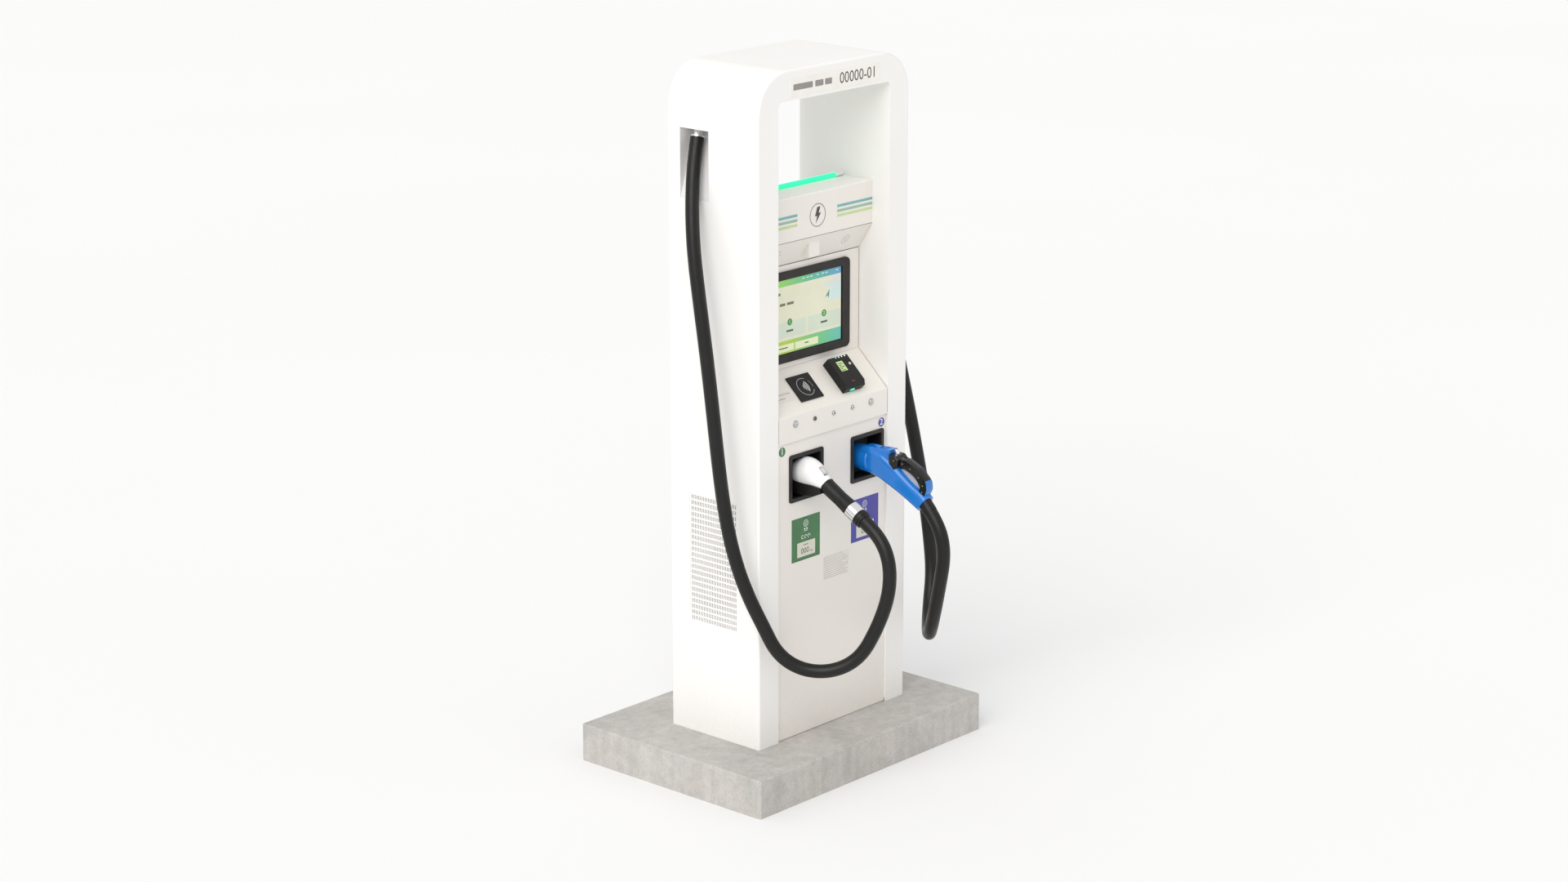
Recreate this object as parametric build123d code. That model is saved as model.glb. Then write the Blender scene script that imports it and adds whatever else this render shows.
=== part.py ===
# EV charging post: a portal-shaped steel post on a cast plinth, with a sloping user console, a touch
# screen, two charging leads parked in front holsters, and a rear service door. Millimetres, +Z up.
# The origin is the centre of the plinth's underside, and the front faces -Y.
# Every piece is drawn in post coordinates (x from the post's middle, y back from its front face,
# z up from the plinth's top) and moved home once, when it is saved.
import os
from math import atan2, cos, degrees, radians, sin, tan

from build123d import *

# ---------------------------------------------------------------- driving dimensions
PLINTH_W, PLINTH_D, PLINTH_H = 1144, 823, 133
POST_W, POST_D, POST_H = 750, 400, 2275
HOME = (11, -217.5, PLINTH_H)        # the post stands a little right of and ahead of the plinth's middle
SHEET = 3                            # folded steel sheet
CORNER_R = 140                       # outer top corners of the portal
INNER_R = 20                         # inner top corners of the portal
OPEN_HALF = 277                      # half the clear width between the legs
OPEN_TOP = 2175                      # underside of the top beam
FIT = 0.5                            # gap between bolted sheets and the legs
BAY_HALF = OPEN_HALF - FIT

PANEL_FACE = 7                       # the front panel is set back this far
PANEL_TOP = 1035
LIP_BOTTOM, LIP_TOP = 1037, 1125     # upright lip of the console
SLOPE_REACH, SLOPE_TOP = 131, 1246   # where the slope meets the screen panel
SCREEN_TOP = 1598
SOFFIT_FRONT, SOFFIT_TOP = 75, 1688
DECK_Z, DECK_REAR_Z = 1835, 1775
SLOPE_ANGLE = degrees(atan2(SLOPE_TOP - LIP_TOP, SLOPE_REACH))
SLOPE = Plane(
    origin=(0, 0, LIP_TOP),
    x_dir=(1, 0, 0),
    z_dir=(0, -sin(radians(SLOPE_ANGLE)), cos(radians(SLOPE_ANGLE))),
)

HOLSTER_X = (-133, 178)
HOLSTER_Z = 907
BEZEL_W, BEZEL_H = 170, 164          # outside of a holster bezel
BAY_W, BAY_H = 144, 138              # its opening
HOLSTER_DEPTH = 120

VENT_Y, VENT_Z = (102, 307), (393, 837)
VENT_COLUMNS, VENT_ROWS = 27, 22
SLOT_W, SLOT_H = 4, 14.5
RECESS_Y, RECESS_Z = (215, 342), (1838, 2070)
RECESS_DEPTH = 78

CABLE_D = 46
GLAND_NECK_R = 15
GLAND_END = (340, 297, 2036)         # where each cable leaves its gland, right-hand side
GLAND_NEXT = (362, 288, 1981)        # the next point of its route, which sets the gland's tilt

FAN_Z = (505, 725)
FAN_Y = 204.5
FAN_R = 80
WIRE_HOLE = ((200, 320), (1480, 1640))   # y and z of the wiring hole in each leg's lining
KEY_X = (-193, -97, -2, 94, 189)     # the five lip buttons
KEY_Z = 1095
RUN = 0.05                           # radial running clearance of pins and shafts

HINGE_X, HINGE_Y = 268, 403
HINGE_Z = (200, 920, 1640)
HANDLE_X, HANDLE_Z = -235, 920

# Routes of the two free cables, gland first, in post coordinates.
LEFT_ROUTE = [
    (-340, 297, 2036), (-362, 288, 1981), (-390, 272, 1906), (-422, 246, 1801), (-444, 218, 1680),
    (-454, 189, 1553), (-460, 161, 1421), (-463, 137, 1288), (-465, 116, 1154), (-466, 97, 1020),
    (-466, 76, 886), (-461, 52, 758), (-450, 22, 646), (-433, -12, 550), (-411, -48, 465),
    (-380, -88, 360), (-327, -155, 307), (-266, -236, 307), (-213, -305, 357), (-178, -347, 462),
    (-150, -369, 564), (-137, -366, 650), (-133, -344, 716), (-133, -300, 768), (-133, -248, 798),
]
RIGHT_ROUTE = [
    (340, 297, 2036), (362, 288, 1981), (391, 273, 1908), (420, 256, 1818), (441, 240, 1697),
    (455, 214, 1562), (466, 181, 1418), (474, 145, 1268), (480, 107, 1115), (484, 69, 965),
    (485, 34, 820), (484, 1, 680), (480, -25, 550), (470, -46, 434), (426, -70, 330),
    (358, -122, 281), (288, -184, 281), (234, -238, 332), (203, -282, 428), (190, -311, 524),
    (182, -331, 604), (178, -331, 667), (178, -310, 723), (178, -275, 765),
]


# ---------------------------------------------------------------- helpers
def block(x, y, z):
    """A box given by its (low, high) pair along each axis."""
    size = [high - low for low, high in (x, y, z)]
    middle = [(high + low) / 2 for low, high in (x, y, z)]
    return Pos(*middle) * Box(*size)


def rod(radius, start, end, end_radius=None):
    """A round bar or cone from start to end."""
    axis = Vector(*end) - Vector(*start)
    plane = Plane(origin=start, z_dir=axis)
    align = (Align.CENTER, Align.CENTER, Align.MIN)
    if end_radius is None:
        return plane * Cylinder(radius, axis.length, align=align)
    return plane * Cone(radius, end_radius, axis.length, align=align)


def side_profile(points, x):
    """A solid whose outline in the YZ plane is the polygon, between two x values."""
    face = Plane.YZ.offset(x[0]) * Polygon(*points, align=None)
    return extrude(face, amount=x[1] - x[0], dir=(1, 0, 0))


def bent_sheet(path, thickness, x):
    """A folded sheet: its outer face follows the (y, z) path, its thickness lies to the path's right."""
    inner = []
    for i, (y, z) in enumerate(path):
        before = path[max(i - 1, 0)]
        after = path[min(i + 1, len(path) - 1)]
        into = Vector(y - before[0], z - before[1]) if i > 0 else Vector(after[0] - y, after[1] - z)
        out = Vector(after[0] - y, after[1] - z) if i < len(path) - 1 else into
        normal = (Vector(into.Y, -into.X).normalized() + Vector(out.Y, -out.X).normalized()).normalized()
        reach = thickness / normal.dot(Vector(into.Y, -into.X).normalized())
        inner.append((y + normal.X * reach, z + normal.Y * reach))
    return side_profile(list(path) + inner[::-1], x)


def round_edges(shape, axis, radius):
    return fillet(shape.edges().filter_by(axis), radius)


def on_slope(x, v, n):
    """A box on the sloping console: v runs up the slope, n stands off it."""
    size = [high - low for low, high in (x, v, n)]
    middle = [(high + low) / 2 for low, high in (x, v, n)]
    return SLOPE * Pos(*middle) * Box(*size)


def mirrored(shape):
    return mirror(shape, about=Plane.YZ)


def group(shapes):
    solids = []
    for shape in shapes:
        solids.extend(shape.solids())
    return Compound(solids)


def save(name, shape):
    export_step(Pos(*HOME) * shape, f"parts/{name}.step")


# ---------------------------------------------------------------- plinth and frame
BOLT_R = 9
BOLT_SPOTS = [(x, y) for x in (-215, 215) for y in (60, 300)]
CONDUIT_R = 60
CONDUIT_Y = 180


def plinth():
    x = (-PLINTH_W / 2 - HOME[0], PLINTH_W / 2 - HOME[0])
    y = (-PLINTH_D / 2 - HOME[1], PLINTH_D / 2 - HOME[1])
    body = block(x, y, (-PLINTH_H, 0))
    body = chamfer(body.edges().group_by(Axis.Z)[-1] + body.edges().filter_by(Axis.Z), 5)
    body -= rod(CONDUIT_R, (0, CONDUIT_Y, -PLINTH_H - 1), (0, CONDUIT_Y, 1))
    for bx, by in BOLT_SPOTS:
        body -= rod(BOLT_R, (bx, by, -100), (bx, by, 1))
    return body


def base_plate():
    plate = block((-371, 371), (4, 396), (0, 12))
    plate -= block((-OPEN_HALF, OPEN_HALF), (0, PANEL_FACE + 5), (-1, 13))
    plate -= rod(CONDUIT_R + 5, (0, CONDUIT_Y, -1), (0, CONDUIT_Y, 13))
    for bx, by in BOLT_SPOTS:
        plate -= rod(BOLT_R + 1, (bx, by, -1), (bx, by, 13))
    return plate


def anchor_bolts():
    bolts = []
    for bx, by in BOLT_SPOTS:
        bolts.append(rod(BOLT_R, (bx, by, -100), (bx, by, 46)))
        nut = extrude(RegularPolygon(16, 6), amount=15) - Cylinder(BOLT_R, 60)
        washer = Cylinder(18, 3) - Cylinder(BOLT_R, 60)
        bolts.append(Pos(bx, by, 15) * nut)
        bolts.append(Pos(bx, by, 13.5) * washer)
    return group(bolts)


UPRIGHT = 36
UPRIGHT_X = (236, 272)
FRONT_POST_Y, REAR_POST_Y = (150, 186), (330, 366)
FRAME_Z = (12, 1676)
RAIL_Z = (40, 1000, FRAME_Z[1] - UPRIGHT)
FRAME_SHEET_Y = (258, 261)           # the plate that the power electronics hang on
MODULE_FRONT, MODULE_BACK = FRAME_SHEET_Y[1], 325


def inner_frame():
    bars = []
    hollows = []
    for side in (-1, 1):
        x = tuple(sorted((side * UPRIGHT_X[0], side * UPRIGHT_X[1])))
        for y in (FRONT_POST_Y, REAR_POST_Y):
            bars.append(block(x, y, FRAME_Z))
            hollow_x = (x[0] + SHEET, x[1] - SHEET)
            hollows.append(block(hollow_x, (y[0] + SHEET, y[1] - SHEET), (FRAME_Z[0] - 1, FRAME_Z[1] + 1)))
        for z in RAIL_Z:
            bars.append(block(x, (FRONT_POST_Y[0], REAR_POST_Y[1]), (z, z + UPRIGHT)))
    across = (-UPRIGHT_X[1], UPRIGHT_X[1])
    for y in (FRONT_POST_Y, REAR_POST_Y):
        bars.append(block(across, y, (FRAME_Z[1] - UPRIGHT, FRAME_Z[1])))
    frame = bars[0]
    for bar in bars[1:]:
        frame += bar
    for hollow in hollows:
        frame -= hollow
    return frame


def mounting_plate():
    plate = block((-UPRIGHT_X[0], UPRIGHT_X[0]), FRAME_SHEET_Y, (80, 1600))
    for x in (-150, 150):                # wiring windows
        plate -= block((x - 40, x + 40), (250, 270), (1430, 1470))
    return plate


# ---------------------------------------------------------------- portal shell
def arch_shell():
    half = POST_W / 2
    outer = block((-half, half), (0, POST_D), (0, POST_H))
    outer = fillet(outer.edges().filter_by(Axis.Y).group_by(Axis.Z)[-1], CORNER_R)
    rims = outer.faces().filter_by(Axis.Y).edges()
    outer = fillet(rims.filter_by(lambda edge: edge.center().Z > 1), 8)
    hollow = block((-half + SHEET, half - SHEET), (SHEET, POST_D - SHEET), (-1, POST_H - SHEET))
    hollow = fillet(hollow.edges().filter_by(Axis.Y).group_by(Axis.Z)[-1], CORNER_R - SHEET)
    window = block((-OPEN_HALF, OPEN_HALF), (-1, POST_D + 1), (-1, OPEN_TOP))
    window = fillet(window.edges().filter_by(Axis.Y).group_by(Axis.Z)[-1], INNER_R)
    lining = block((-OPEN_HALF - SHEET, OPEN_HALF + SHEET), (-1, POST_D + 1), (-2, OPEN_TOP + SHEET))
    lining = fillet(lining.edges().filter_by(Axis.Y).group_by(Axis.Z)[-1], INNER_R + SHEET)
    shell = outer - window - (hollow - lining)
    shell -= block((-372, 372), (3.5, 396.5), (-1, 12))
    skin = (half - SHEET - 1, half + 1)
    lining_x = (OPEN_HALF - 1, OPEN_HALF + SHEET + 1)
    for side in (-1, 1):
        outer_x = tuple(sorted((side * skin[0], side * skin[1])))
        inner_x = tuple(sorted((side * lining_x[0], side * lining_x[1])))
        shell -= block(outer_x, (VENT_Y[0] - 4, VENT_Y[1] + 4), (VENT_Z[0] - 4, VENT_Z[1] + 4))
        shell -= block(outer_x, RECESS_Y, RECESS_Z)
        shell -= block(inner_x, (FAN_Y - FAN_R, FAN_Y + FAN_R), (FAN_Z[0] - 85, FAN_Z[1] + 85))
        shell -= block(inner_x, *WIRE_HOLE)
    return shell


def vent_grille():
    """One pressed grille, set flush in the side skin."""
    half_w = (VENT_Y[1] - VENT_Y[0]) / 2 + 4
    half_h = (VENT_Z[1] - VENT_Z[0]) / 2 + 4
    pitch_y = (VENT_Y[1] - VENT_Y[0]) / VENT_COLUMNS
    pitch_z = (VENT_Z[1] - VENT_Z[0]) / VENT_ROWS
    slots = []
    for column in range(VENT_COLUMNS):
        for row in range(VENT_ROWS):
            y = (column - (VENT_COLUMNS - 1) / 2) * pitch_y
            z = (row - (VENT_ROWS - 1) / 2) * pitch_z
            slots.append(Pos(y, z) * Wire.make_rect(SLOT_W, SLOT_H))
    face = Face(Wire.make_rect(2 * half_w, 2 * half_h), slots)
    middle = (POST_W / 2 - SHEET, (VENT_Y[0] + VENT_Y[1]) / 2, (VENT_Z[0] + VENT_Z[1]) / 2)
    return extrude(Plane(origin=middle, x_dir=(0, 1, 0), z_dir=(1, 0, 0)) * face, amount=SHEET)


def vent_filter():
    x = (POST_W / 2 - 15, POST_W / 2 - 7)
    return block(x, (VENT_Y[0] + 2, VENT_Y[1] - 2), (VENT_Z[0] + 2, VENT_Z[1] - 2))


def recess_pocket():
    """The folded wedge-shaped liner that the cable comes out of."""
    skin = POST_W / 2 - SHEET
    deep = POST_W / 2 - RECESS_DEPTH
    outside = [(skin, RECESS_Z[0] - 4), (deep - 2, RECESS_Z[1] + 2), (skin, RECESS_Z[1] + 2)]
    inside = [(POST_W / 2, RECESS_Z[0]), (deep, RECESS_Z[1]), (POST_W / 2, RECESS_Z[1])]
    wide = RECESS_Y[1] - RECESS_Y[0]
    wedge = extrude(Plane.XZ * Polygon(*outside, align=None), amount=wide + 4, dir=(0, 1, 0))
    space = extrude(Plane.XZ * Polygon(*inside, align=None), amount=wide, dir=(0, 1, 0))
    liner = Pos(0, RECESS_Y[0] - 2, 0) * wedge - Pos(0, RECESS_Y[0], 0) * space
    liner -= rod(GLAND_NECK_R, gland_point(-5), gland_point(90))
    return liner


def gland_point(distance):
    """A point on the right-hand gland's axis, measured back from the cable's end into the leg."""
    axis = (Vector(*GLAND_END) - Vector(*GLAND_NEXT)).normalized()
    return tuple(Vector(*GLAND_END) + axis * distance)


def cable_gland():
    neck = rod(GLAND_NECK_R, gland_point(5), gland_point(64))
    collar = rod(CABLE_D / 2 + 1, gland_point(0), gland_point(5))
    return neck + collar


# ---------------------------------------------------------------- cooling fans (left leg)
FAN_CASE = 176
ROTOR_X = (-354, -336)


def fan_case(z):
    centre = (FAN_Y, z)
    half = FAN_CASE / 2
    y = (FAN_Y - half, FAN_Y + half)
    case = round_edges(block((-358, -320), y, (z - half, z + half)), Axis.X, 8)
    case -= rod(FAN_R + 4, (-360, *centre), (-318, *centre))
    for turn in range(4):
        arm = block((-326, -320), (0, FAN_R + 5), (-5, 5))
        case += Pos(0, *centre) * Rot(turn * 90 + 45, 0, 0) * arm
    case += rod(28, (-332, *centre), (-320, *centre))
    case += rod(4, (-348, *centre), (-330, *centre))
    return case


def fan_rotor(z):
    centre = (FAN_Y, z)
    rotor = rod(26, (ROTOR_X[0], *centre), (ROTOR_X[1], *centre))
    for turn in range(7):
        blade = Pos((ROTOR_X[0] + ROTOR_X[1]) / 2, FAN_R / 2 + 10, 0) * Rot(0, 35, 0) * Box(2.4, FAN_R - 20, 24)
        rotor += Pos(0, *centre) * Rot(turn * 360 / 7, 0, 0) * blade
    rotor -= rod(4 + RUN, (-348.5, *centre), (-330, *centre))
    return rotor


# ---------------------------------------------------------------- front sheets
def front_panel():
    half = BAY_HALF
    panel = block((-half, half), (PANEL_FACE, PANEL_FACE + SHEET), (2, PANEL_TOP))
    for side in (-1, 1):
        x = tuple(sorted((side * half, side * (half - SHEET))))
        panel += block(x, (PANEL_FACE, PANEL_FACE + 25), (13, PANEL_TOP))
    for x in HOLSTER_X:
        opening = ((x - BAY_W / 2 - 4, x + BAY_W / 2 + 4), (0, 20))
        panel -= block(*opening, (HOLSTER_Z - BAY_H / 2 - 4, HOLSTER_Z + BAY_H / 2 + 4))
    return panel


TONGUE = 3.8                         # the holster's wall, which passes through the panel


def holster_bezel(x):
    y = (PANEL_FACE - 4, PANEL_FACE)
    frame = block((x - BEZEL_W / 2, x + BEZEL_W / 2), y, (HOLSTER_Z - BEZEL_H / 2, HOLSTER_Z + BEZEL_H / 2))
    frame = round_edges(frame, Axis.Y, 9)
    tongue_x = (x - BAY_W / 2 - TONGUE, x + BAY_W / 2 + TONGUE)
    tongue_z = (HOLSTER_Z - BAY_H / 2 - TONGUE, HOLSTER_Z + BAY_H / 2 + TONGUE)
    frame += block(tongue_x, (PANEL_FACE, PANEL_FACE + 5), tongue_z)
    bore = block(
        (x - BAY_W / 2, x + BAY_W / 2),
        (PANEL_FACE - 9, PANEL_FACE + 9),
        (HOLSTER_Z - BAY_H / 2, HOLSTER_Z + BAY_H / 2),
    )
    frame -= round_edges(bore, Axis.Y, 4)
    return frame


SOCKET_FRONT = PANEL_FACE + 5
SOCKET_BACK = PANEL_FACE + HOLSTER_DEPTH
SEAT_FRONT = 52                      # front of the block that holds a connector's nose
SEAT_HALF = (56, 66)                 # its half width and half height


def holster_socket(x, nose):
    """A box behind the panel; nose is the hole that takes the connector's nose, with its clearance."""
    wide, high = BAY_W / 2 + TONGUE, BAY_H / 2 + TONGUE
    box = block((x - wide, x + wide), (SOCKET_FRONT, SOCKET_BACK), (HOLSTER_Z - high, HOLSTER_Z + high))
    box -= block(
        (x - BAY_W / 2, x + BAY_W / 2),
        (SOCKET_FRONT - 1, SOCKET_BACK - 4),
        (HOLSTER_Z - BAY_H / 2, HOLSTER_Z + BAY_H / 2),
    )
    wide, high = SEAT_HALF
    seat = block((x - wide, x + wide), (SEAT_FRONT, SOCKET_BACK - 4), (HOLSTER_Z - high, HOLSTER_Z + high))
    return box + (round_edges(seat, Axis.Y, 12) - nose)


def console_housing():
    path = [(22, LIP_BOTTOM), (0, LIP_BOTTOM), (0, LIP_TOP), (SLOPE_REACH, SLOPE_TOP)]
    housing = bent_sheet(path, SHEET, (-BAY_HALF, BAY_HALF))
    for x, cap in zip(KEY_X, KEY_CAPS):
        housing -= rod(cap + 2, (x, -5, KEY_Z), (x, 5, KEY_Z))
    housing -= on_slope((75, 155), (40, 140), (-6, 1))
    folds = housing.edges().filter_by(Axis.X).filter_by(lambda edge: abs(edge.center().Z - LIP_TOP) < 4)
    return fillet(folds, 3)


def screen_panel():
    y = (SLOPE_REACH, SLOPE_REACH + SHEET)
    panel = block((-BAY_HALF, BAY_HALF), y, (SLOPE_TOP + 0.5, SCREEN_TOP - 2.5))
    panel -= block((-206, 206), (100, 140), (1289, 1555))
    return panel


SPEAKER_X = 173
SPEAKER_RINGS = ((0, 1), (9, 6), (18, 12))   # radius and number of holes


def header_fascia():
    path = [(SLOPE_REACH, SCREEN_TOP), (SOFFIT_FRONT, SOFFIT_TOP), (SOFFIT_FRONT, DECK_Z - SHEET)]
    fascia = bent_sheet(path, SHEET, (-BAY_HALF, BAY_HALF))
    for side in (-1, 1):
        for ring, count in SPEAKER_RINGS:
            for step in range(count):
                turn = radians(360 * step / count)
                spot = (side * SPEAKER_X + ring * cos(turn), ring * sin(turn))
                fascia -= SOFFIT * Pos(*spot, 0) * Cylinder(2.2, 12)
    return fascia


SOFFIT_RUN = Vector(0, SOFFIT_FRONT - SLOPE_REACH, SOFFIT_TOP - SCREEN_TOP).normalized()
SOFFIT = Plane(
    origin=(0, (SOFFIT_FRONT + SLOPE_REACH) / 2, (SOFFIT_TOP + SCREEN_TOP) / 2),
    x_dir=(1, 0, 0),
    z_dir=(0, -SOFFIT_RUN.Z, SOFFIT_RUN.Y),
)                                    # its z axis points out of the soffit, down towards the user


def speaker(side):
    return SOFFIT * Pos(side * SPEAKER_X, 0, -SHEET - 9) * Cylinder(30, 14)


HOOD_FRONT, HOOD_BOTTOM = 88, 1616
HOOD_X = (-28, 24)


def soffit_height(y):
    return SCREEN_TOP + (SLOPE_REACH - y) * (SOFFIT_TOP - SCREEN_TOP) / (SLOPE_REACH - SOFFIT_FRONT)


def soffit_depth(z):
    return SLOPE_REACH - (z - SCREEN_TOP) * (SLOPE_REACH - SOFFIT_FRONT) / (SOFFIT_TOP - SCREEN_TOP)


def camera_hood():
    """A wedge hung under the soffit, with the camera's window in its level underside."""
    corners = [
        (HOOD_FRONT, soffit_height(HOOD_FRONT)), (HOOD_FRONT, HOOD_BOTTOM),
        (soffit_depth(HOOD_BOTTOM), HOOD_BOTTOM),
    ]
    hood = side_profile(corners, HOOD_X)
    x, y = (HOOD_X[0] + HOOD_X[1]) / 2, HOOD_FRONT + 11
    return hood - rod(6.5, (x, y, HOOD_BOTTOM - 1), (x, y, HOOD_BOTTOM + 8))


def top_deck():
    """The flat top of the header, which falls away behind the light bar to shed rain."""
    rear = POST_D - 3
    path = [(SOFFIT_FRONT, DECK_Z), (LIGHT_Y + 22, DECK_Z), (rear, DECK_REAR_Z), (rear, DECK_REAR_Z - 18)]
    deck = bent_sheet(path, SHEET, (-BAY_HALF, BAY_HALF))
    deck -= block((-262, 262), (LIGHT_Y - 9, LIGHT_Y + 9), (DECK_Z - 9, DECK_Z + 9))
    return deck


LIGHT_Y, LIGHT_Z, LIGHT_R = 200, DECK_Z + 6, 8.5


def light_bar():
    return rod(LIGHT_R, (-250, LIGHT_Y, LIGHT_Z), (250, LIGHT_Y, LIGHT_Z))


def light_bar_cap(side):
    return rod(LIGHT_R, (side * 250, LIGHT_Y, LIGHT_Z), (side * 261, LIGHT_Y, LIGHT_Z))


# ---------------------------------------------------------------- screen
BEZEL_OUT = (224, 155)               # half width and half height of the screen bezel
VIEW = (184, 127)                    # of its window
GLASS = (197, 139)                   # of the glass behind it
SCREEN_X, BEZEL_Z, GLASS_Z = -4, 1420, 1422   # their middles


def panel_block(half, y, z):
    """A block on the screen's centre line: half is its half width and half height."""
    return block((SCREEN_X - half[0], SCREEN_X + half[0]), y, (z - half[1], z + half[1]))


def screen_bezel():
    front, back = SLOPE_REACH - 10, SLOPE_REACH
    frame = round_edges(panel_block(BEZEL_OUT, (front, back), BEZEL_Z), Axis.Y, 20)
    frame = fillet(frame.faces().sort_by(Axis.Y)[0].edges(), 2.5)
    frame -= panel_block(VIEW, (front - 1, back + 1), GLASS_Z)
    frame -= panel_block((GLASS[0] + FIT, GLASS[1] + FIT), (front + 4, back + 1), GLASS_Z)
    return frame


def screen_glass():
    return panel_block(GLASS, (SLOPE_REACH - 6, SLOPE_REACH - 2), GLASS_Z)


def display_module():
    module = panel_block((GLASS[0], 130), (SLOPE_REACH - 2, SLOPE_REACH + 40), GLASS_Z)
    return fillet(module.faces().sort_by(Axis.Y)[-1].edges(), 6)


# ---------------------------------------------------------------- console fittings
KEY_COLLARS = (12.5, 8.5, 8.5, 8.5, 12.5)
KEY_CAPS = (8.5, 6.5, 6.5, 6.5, 8.5)


def button_barrel(x, collar, cap):
    barrel = rod(collar, (x, -2, KEY_Z), (x, 0, KEY_Z))
    barrel += rod(cap + 2, (x, -1, KEY_Z), (x, 26, KEY_Z))
    barrel -= rod(cap + 0.3, (x, -3, KEY_Z), (x, 12, KEY_Z))
    barrel -= rod(3 + RUN, (x, 11, KEY_Z), (x, 23, KEY_Z))
    return barrel


def push_button(x, cap):
    face = rod(cap, (x, -4.5, KEY_Z), (x, 8, KEY_Z))
    face = fillet(face.faces().sort_by(Axis.Y)[0].edges(), 1.8)
    return face + rod(3, (x, 7, KEY_Z), (x, 18, KEY_Z))


def contactless_pad():
    pad = on_slope((-133, -22), (38, 138), (0, 6))
    return fillet(pad.edges(), 1.5)


READER_X, READER_V, READER_N = (66, 165), (27, 150), 34
READER_WINDOW = ((91, 123), (91, 131))
READER_KEY = (148, 113)
READER_SLOT = ((85, 146), 60, (10, 13))   # the card slot across the nose: x, depth, height off the slope


def card_reader_body():
    outline = [
        (READER_V[0], 0), (READER_V[1], 0), (READER_V[1], READER_N),
        (READER_V[0] + 14, READER_N), (READER_V[0], READER_N - 12),
    ]
    face = Plane.YZ.offset(READER_X[0]) * Polygon(*outline, align=None)
    body = SLOPE * extrude(face, amount=READER_X[1] - READER_X[0])
    body = fillet(body.edges(), 2)
    slot_x, slot_depth, slot_n = READER_SLOT
    body -= on_slope(slot_x, (READER_V[0] - 1, READER_V[0] + slot_depth), slot_n)
    (x0, x1), (v0, v1) = READER_WINDOW
    body -= on_slope((x0 - 0.2, x1 + 0.2), (v0 - 0.2, v1 + 0.2), (READER_N - 3, READER_N + 1))
    x, v = READER_KEY
    body -= SLOPE * Pos(x, v, READER_N) * Cylinder(5.4, 12)
    return body


def card_reader_window():
    x, v = READER_WINDOW
    return on_slope(x, v, (READER_N - 3, READER_N - 0.6))


def card_reader_key():
    x, v = READER_KEY
    cap = SLOPE * Pos(x, v, READER_N - 0.4) * Cylinder(5, 5)
    return fillet(cap.edges(), 0.8)


BADGE_X, BADGE_Z, BADGE_R = (-252, 252), 1010, 16
LABEL_X = ((-205, -63), (97, 239))   # the left and right connector labels
LABEL_Z = (614, 764)
RATING_X, RATING_Z = (-45, 86), (517, 600)
ID_X, ID_Z = (-219, 222), (2185, 2247)


def front_labels():
    y = (PANEL_FACE - 0.6, PANEL_FACE)
    labels = [rod(BADGE_R, (x, y[0], BADGE_Z), (x, y[1], BADGE_Z)) for x in BADGE_X]
    labels.extend(block(x, y, LABEL_Z) for x in LABEL_X)
    labels.append(block(RATING_X, y, RATING_Z))
    return group(labels)


def id_plate():
    return block(ID_X, (-0.8, 0), ID_Z)


# ---------------------------------------------------------------- connector 1 (white head, left)
NOSE1_Z = 917
GRIP1_START = (-85, 888)
GRIP1_ANGLE = 29
HEAD_SECTIONS = (                    # y, z, half width, half height, downward tilt in degrees
    (48, 917, 36, 38, 0),
    (22, 920, 42, 47, 0),
    (-8, 921, 43, 49, 5),
    (-45, 911, 37, 40, 18),
    (-85, 888, 27, 27, GRIP1_ANGLE),
)


def heading(angle):
    """Unit vector out of the post (-Y), tilted down by the angle."""
    return Vector(0, -cos(radians(angle)), -sin(radians(angle)))


def tilted_plane(x, y, z, angle):
    return Plane(origin=(x, y, z), x_dir=(1, 0, 0), z_dir=heading(angle))


def grip1_point(distance):
    start = Vector(HOLSTER_X[0], *GRIP1_START)
    return tuple(start + heading(GRIP1_ANGLE) * distance)


LATCH_PIVOT = (-62, 940)
LATCH_TILT = 38
LATCH_LENGTH = 27


def latch_box(half_width, front, length, low, high):
    """A box lying along the top of the head: front and length run down the latch, low and high across it."""
    plane = tilted_plane(HOLSTER_X[0], *LATCH_PIVOT, LATCH_TILT)
    size = (2 * half_width, high - low, length)
    return plane * Pos(0, (high + low) / 2, front + length / 2) * Box(*size)


def latch_pin(radius, half_length):
    x = HOLSTER_X[0]
    return rod(radius, (x - half_length, *LATCH_PIVOT), (x + half_length, *LATCH_PIVOT))


def head_form():
    sections = []
    for y, z, half_w, half_h, tilt in HEAD_SECTIONS:
        sections.append(tilted_plane(HOLSTER_X[0], y, z, tilt) * Ellipse(half_w, half_h))
    return loft(sections)


def connector_1_shell():
    shell = head_form() - rod(31, (HOLSTER_X[0], 26, NOSE1_Z), (HOLSTER_X[0], 60, NOSE1_Z))
    shell -= latch_box(9.8, -7, LATCH_LENGTH + 8, -9.5, 30)
    shell -= latch_pin(2 + RUN, 14)
    return shell


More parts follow.
